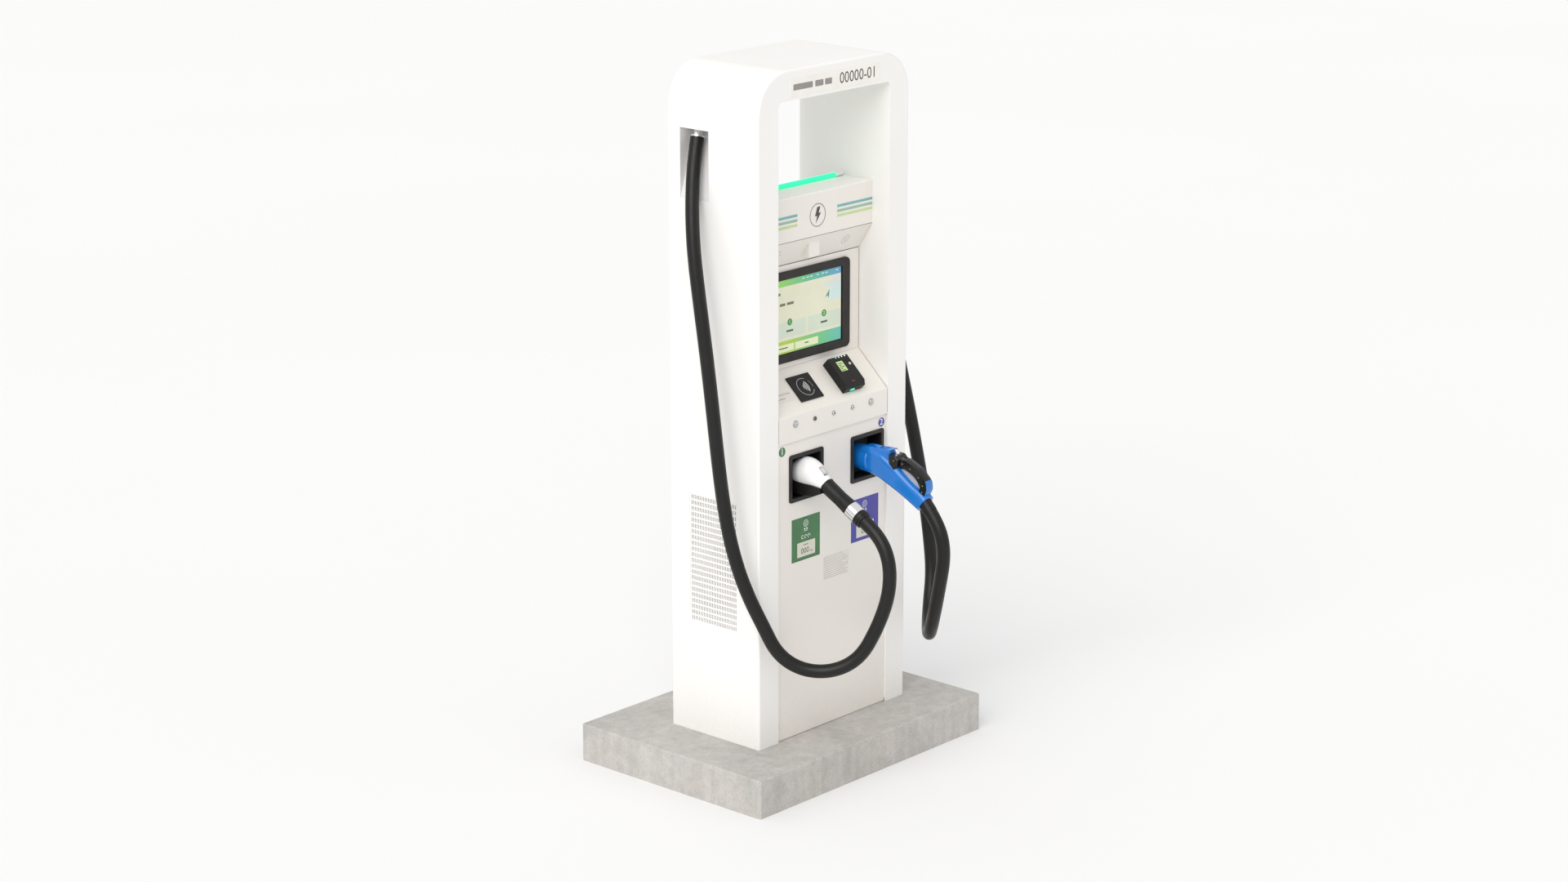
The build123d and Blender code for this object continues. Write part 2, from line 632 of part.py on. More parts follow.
def connector_1_face():
    x = HOLSTER_X[0]
    cradle = [(78, 846), (78, 880), (40, 890), (-78, 884), (-86, 866), (-52, 850), (-10, 844)]
    lower = side_profile(cradle, (x - 34, x + 34))
    lower = fillet(lower.edges().filter_by(lambda edge: abs(edge.tangent_at(0.5).X) < 0.01), 4)
    lower -= head_form()
    nose = rod(31, (x, 26, NOSE1_Z), (x, 78, NOSE1_Z))
    for step in range(7):
        turn = radians(60 * step)
        reach = 15 if step else 0
        pin_x, pin_z = x + reach * sin(turn), NOSE1_Z + reach * cos(turn)
        nose -= rod(3.6, (pin_x, 50, pin_z), (pin_x, 80, pin_z))
    lower -= rod(31, (x, 26, NOSE1_Z), (x, 79, NOSE1_Z))
    for side in (-1, 1):
        lower -= rod(8, (x + side * 17, 50, 865), (x + side * 17, 80, 865))
    lower -= connector_1_grip()
    return nose + lower


def nose_1_seat():
    """The hole in holster 1 that takes the round nose and the lower block, 1 mm clear all round."""
    x = HOLSTER_X[0]
    seat = rod(32, (x, SEAT_FRONT - 1, NOSE1_Z), (x, 90, NOSE1_Z))
    return seat + block((x - 35, x + 35), (SEAT_FRONT - 1, 90), (844, 892))


def connector_1_grip():
    return rod(27, grip1_point(0), grip1_point(70), 25.5) + rod(25.5, grip1_point(70), grip1_point(121), 28)


def connector_1_clamp():
    ring = rod(30, grip1_point(121), grip1_point(160))
    return chamfer(ring.edges(), 1.2)


def connector_1_boot():
    boot = rod(27.5, grip1_point(160), grip1_point(186), 24)
    for step in range(3):
        start = 165 + step * 7
        groove = rod(32, grip1_point(start), grip1_point(start + 2.5))
        boot -= groove - rod(22.5, grip1_point(start - 1), grip1_point(start + 4))
    return boot - cable_end(LEFT_ROUTE)


def connector_1_latch():
    latch = latch_box(8.6, -5, LATCH_LENGTH, -5, 8)
    latch = fillet(latch.edges(), 3.5)
    return latch + latch_pin(2, 13.5)


# ---------------------------------------------------------------- connector 2 (blue body, right)
NOSE2_Z = 901
NOSE2_R = 44
EXIT2 = (-252, 790)
EXIT2_ANGLE = 48
GUN_SECTIONS = (                     # y, z, half width, half height, downward tilt in degrees
    (14, 901, 33, 43, 0),
    (-30, 903, 35, 46, 6),
    (-78, 889, 34, 44, 22),
    (-131, 859, 30, 38, 31),
    (-188, 825, 27, 33, 35),
    (-252, 789, 28, 30, 36),
)
GUN_ROUND = 19
BAR_HALF = 25                        # half the width of the bar along the top of the body
SADDLE_HALF = 29                     # half the width of the guard's saddle
BUTTON_Y = -126
BUTTON_R, STEM_R = 9, 3


def exit2_point(distance):
    start = Vector(HOLSTER_X[1], *EXIT2)
    return tuple(start + heading(EXIT2_ANGLE) * distance)


def rounded_block(outline, half_width, radius):
    """A block on the right-hand holster's centre line, with its long edges rounded."""
    x = HOLSTER_X[1]
    body = side_profile(outline, (x - half_width, x + half_width))
    return fillet(body.edges().filter_by(lambda edge: abs(edge.tangent_at(0.5).X) < 0.01), radius)


def gun_form():
    """The body of connector 2: a rounded barrel that sweeps down into the grip, and a bar along its top."""
    sections = []
    for y, z, half_w, half_h, tilt in GUN_SECTIONS:
        outline = RectangleRounded(2 * half_w, 2 * half_h, GUN_ROUND)
        sections.append(tilted_plane(HOLSTER_X[1], y, z, tilt) * outline)
    bar = [(14, 915), (14, 944), (-60, 950), (-112, 953), (-112, 905), (-60, 905)]
    return loft(sections) + rounded_block(bar, BAR_HALF, 8)


def connector_2_shell():
    x = HOLSTER_X[1]
    barrel = rod(NOSE2_R, (x, 62, NOSE2_Z), (x, -24, NOSE2_Z))
    barrel = fillet(barrel.edges().sort_by(Axis.Y)[0], 6)
    body = gun_form() + barrel
    body -= rod(38, (x, 63, NOSE2_Z), (x, 6, NOSE2_Z))
    body -= rod(24, exit2_point(-22), exit2_point(40))
    body -= trigger_space()
    return body - button_space()


def button_space():
    """The hole for the release button and its stem, through the saddle."""
    x = HOLSTER_X[1]
    space = rod(BUTTON_R + 0.3, (x, BUTTON_Y, 928), (x, BUTTON_Y, 970))
    return space + rod(STEM_R + RUN, (x, BUTTON_Y, 908), (x, BUTTON_Y, 930))


def connector_2_face():
    x = HOLSTER_X[1]
    face = rod(37.6, (x, 6, NOSE2_Z), (x, 52, NOSE2_Z))
    for side in (-1, 1):
        face -= rod(7, (x + side * 17, 20, NOSE2_Z), (x + side * 17, 53, NOSE2_Z))
        face -= rod(5, (x, 20, NOSE2_Z + side * 20), (x, 53, NOSE2_Z + side * 20))
    return face


HANDLE_PATH = [(-124, 916), (-172, 915), (-222, 893), (-254, 862), (-256, 842), (-244, 818)]
HANDLE_HALF = 18
SADDLE = [(-112, 940), (-140, 938), (-152, 926), (-148, 902), (-130, 880), (-112, 880)]


def connector_2_handle():
    """The arched hand guard: a saddle behind the top bar, and a band that springs over the grip gap."""
    line = FilletPolyline(*HANDLE_PATH, radius=14)
    band = Plane.YZ.offset(HOLSTER_X[1] - HANDLE_HALF) * trace(line, line_width=26)
    band = extrude(band, amount=2 * HANDLE_HALF)
    guard = rounded_block(SADDLE, SADDLE_HALF, 5) + band
    guard -= gun_form()
    return guard - button_space()


def connector_2_boot():
    return rod(24, exit2_point(-22), exit2_point(34)) - cable_end(RIGHT_ROUTE)


TRIGGER_PIVOT = (-140, 882)
TRIGGER_END = (-226, 826)
TRIGGER_SHAPE = [(-6, -4), (-4, 8), (16, 22), (44, 29), (78, 27), (100, 14), (104, -1), (90, -4)]
TRIGGER_SLOT = [(-12, -9), (-12, 40), (112, 40), (112, -14)]


def trigger_plate(outline, half_width):
    """A plate in the grip gap: its outline runs along the lever from its pivot, and out of the body."""
    along = Vector(0, TRIGGER_END[0] - TRIGGER_PIVOT[0], TRIGGER_END[1] - TRIGGER_PIVOT[1])
    origin = (HOLSTER_X[1] + half_width, *TRIGGER_PIVOT)
    plane = Plane(origin=origin, x_dir=along, z_dir=(-1, 0, 0))
    face = plane * Polygon(*outline, align=None)
    return extrude(face, amount=2 * half_width, dir=(-1, 0, 0))


def trigger_pin(radius, half_length):
    x = HOLSTER_X[1]
    return rod(radius, (x - half_length, *TRIGGER_PIVOT), (x + half_length, *TRIGGER_PIVOT))


def trigger_space():
    return trigger_plate(TRIGGER_SLOT, 8.5) + trigger_pin(3 + RUN, 14)


def connector_2_trigger():
    lever = trigger_plate(TRIGGER_SHAPE, 7.5)
    return fillet(lever.edges(), 1.5) + trigger_pin(3, 13)


def connector_2_release():
    x = HOLSTER_X[1]
    cap = rod(BUTTON_R, (x, BUTTON_Y, 934), (x, BUTTON_Y, 954))
    cap = fillet(cap.edges().group_by(Axis.Z)[-1], 4)
    return cap + rod(STEM_R, (x, BUTTON_Y, 919), (x, BUTTON_Y, 935))


def nose_2_seat():
    x = HOLSTER_X[1]
    return rod(NOSE2_R + 1, (x, SEAT_FRONT - 1, NOSE2_Z), (x, 76, NOSE2_Z))


# ---------------------------------------------------------------- cables
def cable_end(route):
    """The last stretch of a cable, cut out of the boot that it leaves, so that the two meet face to face."""
    return rod(CABLE_D / 2, route[-1], route[-2])


def cable(name, route):
    """A tube of straight runs joined by tangent arcs; prints its radii and checks its volume."""
    points = [Vector(*point) for point in route]
    radii = []
    for before, here, after in zip(points, points[1:], points[2:]):
        turn = (here - before).get_angle(after - here)
        shorter = min((here - before).length, (after - here).length)
        radii.append(0.45 * shorter / tan(radians(turn / 2)))
    line = FilletPolyline(*points, radius=radii)
    start = Plane(origin=line @ 0, z_dir=line % 0)
    tube = sweep(start * Circle(CABLE_D / 2), path=line)
    expected = Circle(CABLE_D / 2).area * line.length
    print(name, "length", round(line.length), "volume ratio", round(tube.volume / expected, 4))
    print("  radii in diameters", [round(radius / CABLE_D, 1) for radius in radii])
    return tube


# ---------------------------------------------------------------- inside the cabinet, and the rear door
def contactors():
    y = (MODULE_FRONT, MODULE_BACK)
    places = (-165, -55, 55, 165)
    return group([round_edges(block((x - 36, x + 36), y, (1040, 1150)), Axis.Y, 4) for x in places])


def power_modules():
    modules = []
    for z in (110, 300, 490, 680):
        module = block((-205, 205), (MODULE_FRONT, MODULE_BACK), (z, z + 160))
        for slot in range(9):
            x = -160 + slot * 40
            module -= block((x - 12, x + 12), (MODULE_BACK - 7, MODULE_BACK + 1), (z + 30, z + 130))
        modules.append(module)
    return group(modules)


SWITCH_Z = 1290


def main_switch():
    switch = round_edges(block((-60, 60), (MODULE_FRONT, 312), (SWITCH_Z - 70, SWITCH_Z + 70)), Axis.Y, 6)
    return switch - rod(5 + RUN, (0, 290, SWITCH_Z), (0, 313, SWITCH_Z))


def main_switch_knob():
    knob = rod(24, (0, 313, SWITCH_Z), (0, 322, SWITCH_Z))
    knob += round_edges(block((-7, 7), (320, 342), (SWITCH_Z - 23, SWITCH_Z + 23)), Axis.Y, 6)
    return knob + rod(5, (0, 291, SWITCH_Z), (0, 314, SWITCH_Z))


DOOR_FACE = 396
DOOR_Z = (16, DECK_REAR_Z - 21)
KNUCKLE_R, PIN_R = 7, 4


def rear_door():
    half = 274
    door = block((-half, half), (DOOR_FACE - SHEET, DOOR_FACE), DOOR_Z)
    rim = block((-half, half), (DOOR_FACE - 20, DOOR_FACE - SHEET), DOOR_Z)
    hollow_z = (DOOR_Z[0] + SHEET, DOOR_Z[1] - SHEET)
    rim -= block((-half + SHEET, half - SHEET), (DOOR_FACE - 30, DOOR_FACE), hollow_z)
    door += rim
    for z in HINGE_Z:
        door += block((HINGE_X - 24, HINGE_X - 4), (DOOR_FACE - 1, HINGE_Y + 1), (z - 9.5, z + 9.5))
        door += rod(KNUCKLE_R, (HINGE_X, HINGE_Y, z - 9.5), (HINGE_X, HINGE_Y, z + 9.5))
        door -= rod(PIN_R + RUN, (HINGE_X, HINGE_Y, z - 12), (HINGE_X, HINGE_Y, z + 12))
    door -= rod(10 + 0.3, (HANDLE_X, DOOR_FACE - 10, HANDLE_Z), (HANDLE_X, DOOR_FACE + 10, HANDLE_Z))
    return door


def door_hinges():
    hinges = []
    for z in HINGE_Z:
        hinge = rod(PIN_R, (HINGE_X, HINGE_Y, z - 30), (HINGE_X, HINGE_Y, z + 30))
        for low in (z - 30, z + 10):
            hinge += rod(KNUCKLE_R, (HINGE_X, HINGE_Y, low), (HINGE_X, HINGE_Y, low + 20))
            hinge += block((HINGE_X, 305), (POST_D, HINGE_Y + 3), (low, low + 20))
        hinges.append(hinge)
    return group(hinges)


def door_handle():
    x, z = HANDLE_X, HANDLE_Z
    handle = rod(22, (x, DOOR_FACE + 0.5, z), (x, DOOR_FACE + 7, z))
    handle += rod(10, (x, DOOR_FACE - 14, z), (x, DOOR_FACE + 1, z))
    bar = block((x - 12, x + 12), (DOOR_FACE + 5, DOOR_FACE + 18), (z - 110, z + 16))
    handle += fillet(bar.edges(), 4)
    cam = block((x - 30, x + 10), (DOOR_FACE - 14, DOOR_FACE - 9), (z - 9, z + 9))
    return handle + cam


# ---------------------------------------------------------------- write every node
os.makedirs("parts", exist_ok=True)

save("plinth", plinth())
save("base_plate", base_plate())
save("anchor_bolts", anchor_bolts())
save("inner_frame", inner_frame())
save("mounting_plate", mounting_plate())
save("arch_shell", arch_shell())
save("vent_grilles", group([vent_grille(), mirrored(vent_grille())]))
save("vent_filters", group([vent_filter(), mirrored(vent_filter())]))
save("recess_pockets", group([recess_pocket(), mirrored(recess_pocket())]))
save("cable_glands", group([cable_gland(), mirrored(cable_gland())]))
save("fan_housings", group([fan_case(z) for z in FAN_Z]))
save("fan_rotor_lower", fan_rotor(FAN_Z[0]))
save("fan_rotor_upper", fan_rotor(FAN_Z[1]))
save("front_panel", front_panel())
save("holster_bezels", group([holster_bezel(x) for x in HOLSTER_X]))
save("holster_sockets", group([
    holster_socket(HOLSTER_X[0], nose_1_seat()),
    holster_socket(HOLSTER_X[1], nose_2_seat()),
]))
save("console_housing", console_housing())
save("screen_panel", screen_panel())
save("header_fascia", header_fascia())
save("speakers", group([speaker(-1), speaker(1)]))
save("camera_hood", camera_hood())
save("top_deck", top_deck())
save("light_bar", light_bar())
save("light_bar_caps", group([light_bar_cap(-1), light_bar_cap(1)]))
save("screen_bezel", screen_bezel())
save("screen_glass", screen_glass())
save("display_module", display_module())
save("button_barrels", group([button_barrel(*sizes) for sizes in zip(KEY_X, KEY_COLLARS, KEY_CAPS)]))
for number, (x, cap) in enumerate(zip(KEY_X, KEY_CAPS), 1):
    save(f"push_button_{number}", push_button(x, cap))
save("contactless_pad", contactless_pad())
save("card_reader_body", card_reader_body())
save("card_reader_window", card_reader_window())
save("card_reader_key", card_reader_key())
save("front_labels", front_labels())
save("id_plate", id_plate())
save("connector_1_shell", connector_1_shell())
save("connector_1_face", connector_1_face())
save("connector_1_grip", connector_1_grip())
save("connector_1_clamp", connector_1_clamp())
save("connector_1_boot", connector_1_boot())
save("connector_1_latch", connector_1_latch())
save("connector_2_shell", connector_2_shell())
save("connector_2_face", connector_2_face())
save("connector_2_handle", connector_2_handle())
save("connector_2_boot", connector_2_boot())
save("connector_2_trigger", connector_2_trigger())
save("connector_2_release", connector_2_release())
save("charge_cable_left", cable("left cable", LEFT_ROUTE))
save("charge_cable_right", cable("right cable", RIGHT_ROUTE))
save("contactors", contactors())
save("power_modules", power_modules())
save("main_switch", main_switch())
save("main_switch_knob", main_switch_knob())
save("rear_door", rear_door())
save("door_hinges", door_hinges())
save("door_handle", door_handle())
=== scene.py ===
"""An EV charging post: materials, leads, screen picture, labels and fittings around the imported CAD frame."""
import math

import bmesh
import bpy
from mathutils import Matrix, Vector


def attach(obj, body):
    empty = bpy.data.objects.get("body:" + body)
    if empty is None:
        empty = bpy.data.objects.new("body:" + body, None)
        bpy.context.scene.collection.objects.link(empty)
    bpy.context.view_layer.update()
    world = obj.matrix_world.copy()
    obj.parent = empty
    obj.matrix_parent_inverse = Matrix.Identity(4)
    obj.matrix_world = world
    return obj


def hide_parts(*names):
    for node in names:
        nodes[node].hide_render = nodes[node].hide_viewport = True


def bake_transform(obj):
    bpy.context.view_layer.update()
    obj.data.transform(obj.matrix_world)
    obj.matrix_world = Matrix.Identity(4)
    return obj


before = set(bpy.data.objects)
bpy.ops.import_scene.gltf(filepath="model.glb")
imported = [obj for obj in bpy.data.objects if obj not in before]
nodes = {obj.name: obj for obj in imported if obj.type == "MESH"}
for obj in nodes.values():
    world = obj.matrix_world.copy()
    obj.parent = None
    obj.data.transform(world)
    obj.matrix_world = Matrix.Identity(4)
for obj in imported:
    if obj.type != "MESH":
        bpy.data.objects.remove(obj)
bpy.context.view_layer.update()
scene = bpy.context.scene

# ------------------------------------------------------------------ camera
camera = bpy.data.objects.new("camera", bpy.data.cameras.new("camera"))
scene.collection.objects.link(camera)
scene.camera = camera
camera.data.sensor_width = 36
camera.data.lens = 79.5
camera.data.clip_end = 200
camera.location = (-8.395, -7.5255, 4.2625)
AIM = Vector((-0.0164, -0.018, 1.0984))
camera.rotation_mode = "QUATERNION"
camera.rotation_quaternion = (AIM - camera.location).to_track_quat("-Z", "Y")


# ------------------------------------------------------------------ places on the post
def at(x, y, z):
    """Millimetres from the post's foot, front plane and middle, to metres in the row frame."""
    return Vector((x + 11, y - 217.5, z + 133)) / 1000


class Place:
    """A flat surface: u to the right, v up it, h out of it, in millimetres."""

    def __init__(self, origin, v, out, u=(1, 0, 0)):
        self.origin, self.u, self.v, self.out = origin, Vector(u), Vector(v), Vector(out)

    def __call__(self, u, v, h=0.0):
        return self.origin + (self.u * u + self.v * v + self.out * h) / 1000


SLOPE = math.atan2(121, 131)
FRONT = Place(at(0, 0, 0), (0, 0, 1), (0, -1, 0))
PANEL = Place(at(0, 7, 0), (0, 0, 1), (0, -1, 0))
HEADER = Place(at(0, 75, 0), (0, 0, 1), (0, -1, 0))
GLASS = Place(at(0, 125, 0), (0, 0, 1), (0, -1, 0))
CONSOLE = Place(at(0, 0, 1125), (0, math.cos(SLOPE), math.sin(SLOPE)), (0, -math.sin(SLOPE), math.cos(SLOPE)))


# ------------------------------------------------------------------ materials
class Finish:
    """A principled material and the few node recipes that the finishes are made from."""

    def __init__(self, name, rough=0.5, metallic=0.0, **sockets):
        self.material = bpy.data.materials.new(name)
        self.material.use_nodes = True
        self.tree = self.material.node_tree
        self.bsdf = self.tree.nodes["Principled BSDF"]
        self.bsdf.inputs["Roughness"].default_value = rough
        self.bsdf.inputs["Metallic"].default_value = metallic
        for socket, value in sockets.items():
            self.bsdf.inputs[socket.replace("_", " ")].default_value = value
        self.height = None

    def node(self, kind, **settings):
        made = self.tree.nodes.new("ShaderNode" + kind)
        for key, value in settings.items():
            setattr(made, key, value)
        return made

    def link(self, out, into):
        self.tree.links.new(out, into)

    def coords(self, stretch=(1, 1, 1)):
        mapping = self.node("Mapping")
        mapping.inputs["Scale"].default_value = stretch
        self.link(self.node("TexCoord").outputs["Object"], mapping.inputs["Vector"])
        return mapping.outputs["Vector"]

    def noise(self, scale, detail=4.0, stretch=(1, 1, 1), distortion=0.0):
        made = self.node("TexNoise")
        made.inputs["Scale"].default_value = scale
        made.inputs["Detail"].default_value = detail
        made.inputs["Distortion"].default_value = distortion
        self.link(self.coords(stretch), made.inputs["Vector"])
        return made.outputs["Fac"]

    def cells(self, scale, stretch=(1, 1, 1)):
        made = self.node("TexVoronoi")
        made.inputs["Scale"].default_value = scale
        self.link(self.coords(stretch), made.inputs["Vector"])
        return made.outputs["Distance"]

    def height_ramp(self, low, high, axis=2):
        """0 below low and 1 above high, along one axis of the row frame, in metres."""
        split = self.node("SeparateXYZ")
        self.link(self.coords(), split.inputs[0])
        return self.span(split.outputs[axis], low, high, 0, 1)

    def span(self, value, low, high, to_low, to_high):
        made = self.node("MapRange")
        for i, number in enumerate((low, high, to_low, to_high), 1):
            made.inputs[i].default_value = number
        self.link(value, made.inputs[0])
        return made.outputs[0]

    def ramp(self, value, *stops):
        made = self.node("ValToRGB")
        points = made.color_ramp.elements
        while len(points) < len(stops):
            points.new(0.5)
        for point, (place, color) in zip(points, stops):
            point.position = place
            point.color = (*color, 1)
        self.link(value, made.inputs[0])
        return made.outputs[0]

    def mix(self, amount, a, b, blend="MIX"):
        made = self.node("Mix", data_type="RGBA", blend_type=blend)
        for socket, value in ((made.inputs[0], amount), (made.inputs[6], a), (made.inputs[7], b)):
            if isinstance(value, bpy.types.NodeSocket):
                self.link(value, socket)
            else:
                socket.default_value = (*value, 1) if isinstance(value, tuple) else value
        return made.outputs[2]

    def times(self, a, b):
        made = self.node("Math", operation="MULTIPLY")
        for socket, value in zip(made.inputs, (a, b)):
            if isinstance(value, bpy.types.NodeSocket):
                self.link(value, socket)
            else:
                socket.default_value = value
        return made.outputs[0]

    def color(self, value):
        self.link(value, self.bsdf.inputs["Base Color"])
        return self

    def rough(self, value, low, high):
        self.link(self.span(value, 0.3, 0.7, low, high), self.bsdf.inputs["Roughness"])
        return self

    def bump(self, height, strength, depth):
        """Adds a layer of relief; depth is in metres."""
        made = self.node("Bump")
        made.inputs["Strength"].default_value = strength
        made.inputs["Distance"].default_value = depth
        self.link(height, made.inputs["Height"])
        if self.height is not None:
            self.link(self.height, made.inputs["Normal"])
        self.height = made.outputs["Normal"]
        self.link(self.height, self.bsdf.inputs["Normal"])
        return self


def shade(color, factor):
    return tuple(min(1.0, c * factor) for c in color)


def mottled(finish, base, spread=0.06, scale=7.0, fine=90.0):
    """Base colour that wanders by a few percent, broadly and finely."""
    broad = finish.ramp(finish.noise(scale), (0.3, shade(base, 1 - spread)), (0.7, shade(base, 1 + spread)))
    speck = finish.ramp(finish.noise(fine, 2), (0.35, shade((1, 1, 1), 1 - spread)), (0.65, (1, 1, 1)))
    return finish.color(finish.mix(0.6, broad, speck, "MULTIPLY"))


def paint(name, base, grime=0.12):
    """Powder coat: fine orange peel, faint hand marks in the gloss, a little dust low down."""
    f = Finish(name, Coat_Weight=0.08, Coat_Roughness=0.25)
    broad = f.ramp(f.noise(2.2, 3), (0.3, shade(base, 0.975)), (0.7, shade(base, 1.01)))
    dust = f.times(f.ramp(f.height_ramp(0.13, 0.55), (0.0, (1, 1, 1)), (1.0, (0, 0, 0))), grime)
    speck = f.times(dust, f.span(f.noise(60, 5), 0.35, 0.7, 0.35, 1.0))
    f.color(f.mix(speck, broad, shade(base, 0.62)))
    f.rough(f.noise(9, 5), 0.36, 0.48)
    f.bump(f.noise(850, 2), 0.10, 0.0002)
    return f.material


def moulded(name, base, rough=(0.42, 0.55), grain=1300.0, relief=0.22, spread=0.10, **sockets):
    """Moulded plastic or rubber with a fine grain."""
    f = Finish(name, **sockets)
    mottled(f, base, spread, 14, 160)
    f.rough(f.noise(25, 5), *rough)
    f.bump(f.cells(grain), relief, 0.00015)
    return f.material


def metal(name, base, rough=(0.18, 0.34), stretch=(1, 1, 30), scale=220.0, relief=0.06, spread=0.06):
    """Metal with fine scratches along one direction."""
    f = Finish(name, metallic=1.0)
    mottled(f, base, spread, 10, 300)
    f.rough(f.noise(scale, 3, stretch), *rough)
    f.bump(f.noise(scale, 3, stretch), relief, 0.0001)
    return f.material


def lit(name, base, strength, rough=0.25, spread=0.05):
    """A lit or printed surface whose own light varies a little."""
    f = Finish(name, rough=rough)
    mottled(f, base, spread, 9, 240)
    f.link(f.ramp(f.noise(6, 2), (0.3, shade(base, 0.94)), (0.7, base)), f.bsdf.inputs["Emission Color"])
    f.bsdf.inputs["Emission Strength"].default_value = strength
    return f.material


def sweep_lit(name, low, high, colors, strength):
    """A lit surface whose colour runs from left to right between two x values."""
    f = Finish(name, rough=0.25)
    along = f.height_ramp(low, high, axis=0)
    drift = f.node("Math", operation="ADD")
    f.link(along, drift.inputs[0])
    f.link(f.span(f.noise(14, 2), 0, 1, -0.05, 0.05), drift.inputs[1])
    stops = [(i / (len(colors) - 1), c) for i, c in enumerate(colors)]
    color = f.ramp(drift.outputs[0], *stops)
    f.color(color)
    f.link(color, f.bsdf.inputs["Emission Color"])
    f.bsdf.inputs["Emission Strength"].default_value = strength
    return f.material


def concrete():
    """Cast concrete: broad grey patches, fine mottling, faint vertical runs, grit and small pits."""
    f = Finish("concrete", rough=0.9)
    patches = f.ramp(
        f.noise(3.4, 10, distortion=0.2),
        (0.30, (0.515, 0.492, 0.468)), (0.44, (0.57, 0.547, 0.522)), (0.56, (0.612, 0.588, 0.563)),
        (0.70, (0.575, 0.551, 0.526)),
    )
    tint = f.ramp(f.noise(7.5, 4), (0.35, (0.975, 0.99, 0.99)), (0.65, (1.0, 0.985, 0.965)))
    runs = f.ramp(f.noise(24, 8, (1, 1, 0.13), 0.2), (0.33, (0.76, 0.755, 0.75)), (0.62, (1, 1, 1)))
    stain = f.ramp(f.noise(36, 13, distortion=0.3), (0.34, (0.76, 0.75, 0.74)), (0.64, (1, 1, 1)))
    grit = f.ramp(f.noise(240, 4), (0.3, (0.72, 0.72, 0.72)), (0.62, (1, 1, 1)))
    pits = f.ramp(f.cells(120), (0.06, (0.50, 0.49, 0.48)), (0.14, (1, 1, 1)))
    color = f.mix(1.0, patches, tint, "MULTIPLY")
    for amount, layer in ((0.45, runs), (0.4, stain), (0.75, grit), (0.5, pits)):
        color = f.mix(amount, color, layer, "MULTIPLY")
    f.color(color)
    f.rough(f.noise(30, 5), 0.78, 0.95)
    f.bump(f.noise(14, 9), 0.25, 0.002)
    f.bump(f.noise(300, 5), 0.35, 0.0006)
    f.bump(f.span(f.cells(130), 0.0, 0.12, 0, 1), 0.4, 0.0008)
    return f.material


def deck_paint_with_painted_glow(name, base, light):
    """The deck's paint, with a painted green glow of the light bar on it near the bar."""
    f = Finish(name, Coat_Weight=0.08, Coat_Roughness=0.25)
    broad = f.ramp(f.noise(2.2, 3), (0.3, shade(base, 0.975)), (0.7, shade(base, 1.01)))
    # painted light: a band of the deck round the light bar is tinted towards the bar's green
    near = f.ramp(f.height_ramp(-0.075, 0.035, axis=1), (0.0, (0, 0, 0)), (0.5, (1, 1, 1)), (1.0, (0, 0, 0)))
    glow = f.times(near, f.span(f.noise(20, 4), 0.3, 0.7, 0.45, 0.7))
    f.color(f.mix(glow, broad, light))
    f.rough(f.noise(9, 5), 0.36, 0.48)
    f.bump(f.noise(850, 2), 0.10, 0.0002)
    return f.material


def cable_rubber(name, base=(0.0085, 0.0080, 0.0075)):
    """Extruded jacket: satin, with faint drawing lines, scuffs and dust."""
    f = Finish(name, Specular_IOR_Level=0.32)
    dust = f.span(f.noise(16, 7, distortion=0.4), 0.55, 0.85, 0.0, 0.3)
    f.color(f.mix(dust, base, shade(base, 2.6)))
    f.rough(f.noise(22, 6), 0.28, 0.42)
    f.bump(f.noise(700, 3), 0.12, 0.00012)
    f.bump(f.noise(40, 4), 0.08, 0.0008)
    return f.material


def gloss(name, base, rough=(0.16, 0.26), **sockets):
    """Smooth gloss moulding with a clear skin and faint flow marks."""
    f = Finish(name, Coat_Weight=0.35, Coat_Roughness=0.08, **sockets)
    mottled(f, base, 0.05, 12, 200)
    f.rough(f.noise(18, 4), *rough)
    f.bump(f.noise(120, 3), 0.05, 0.0002)
    return f.material


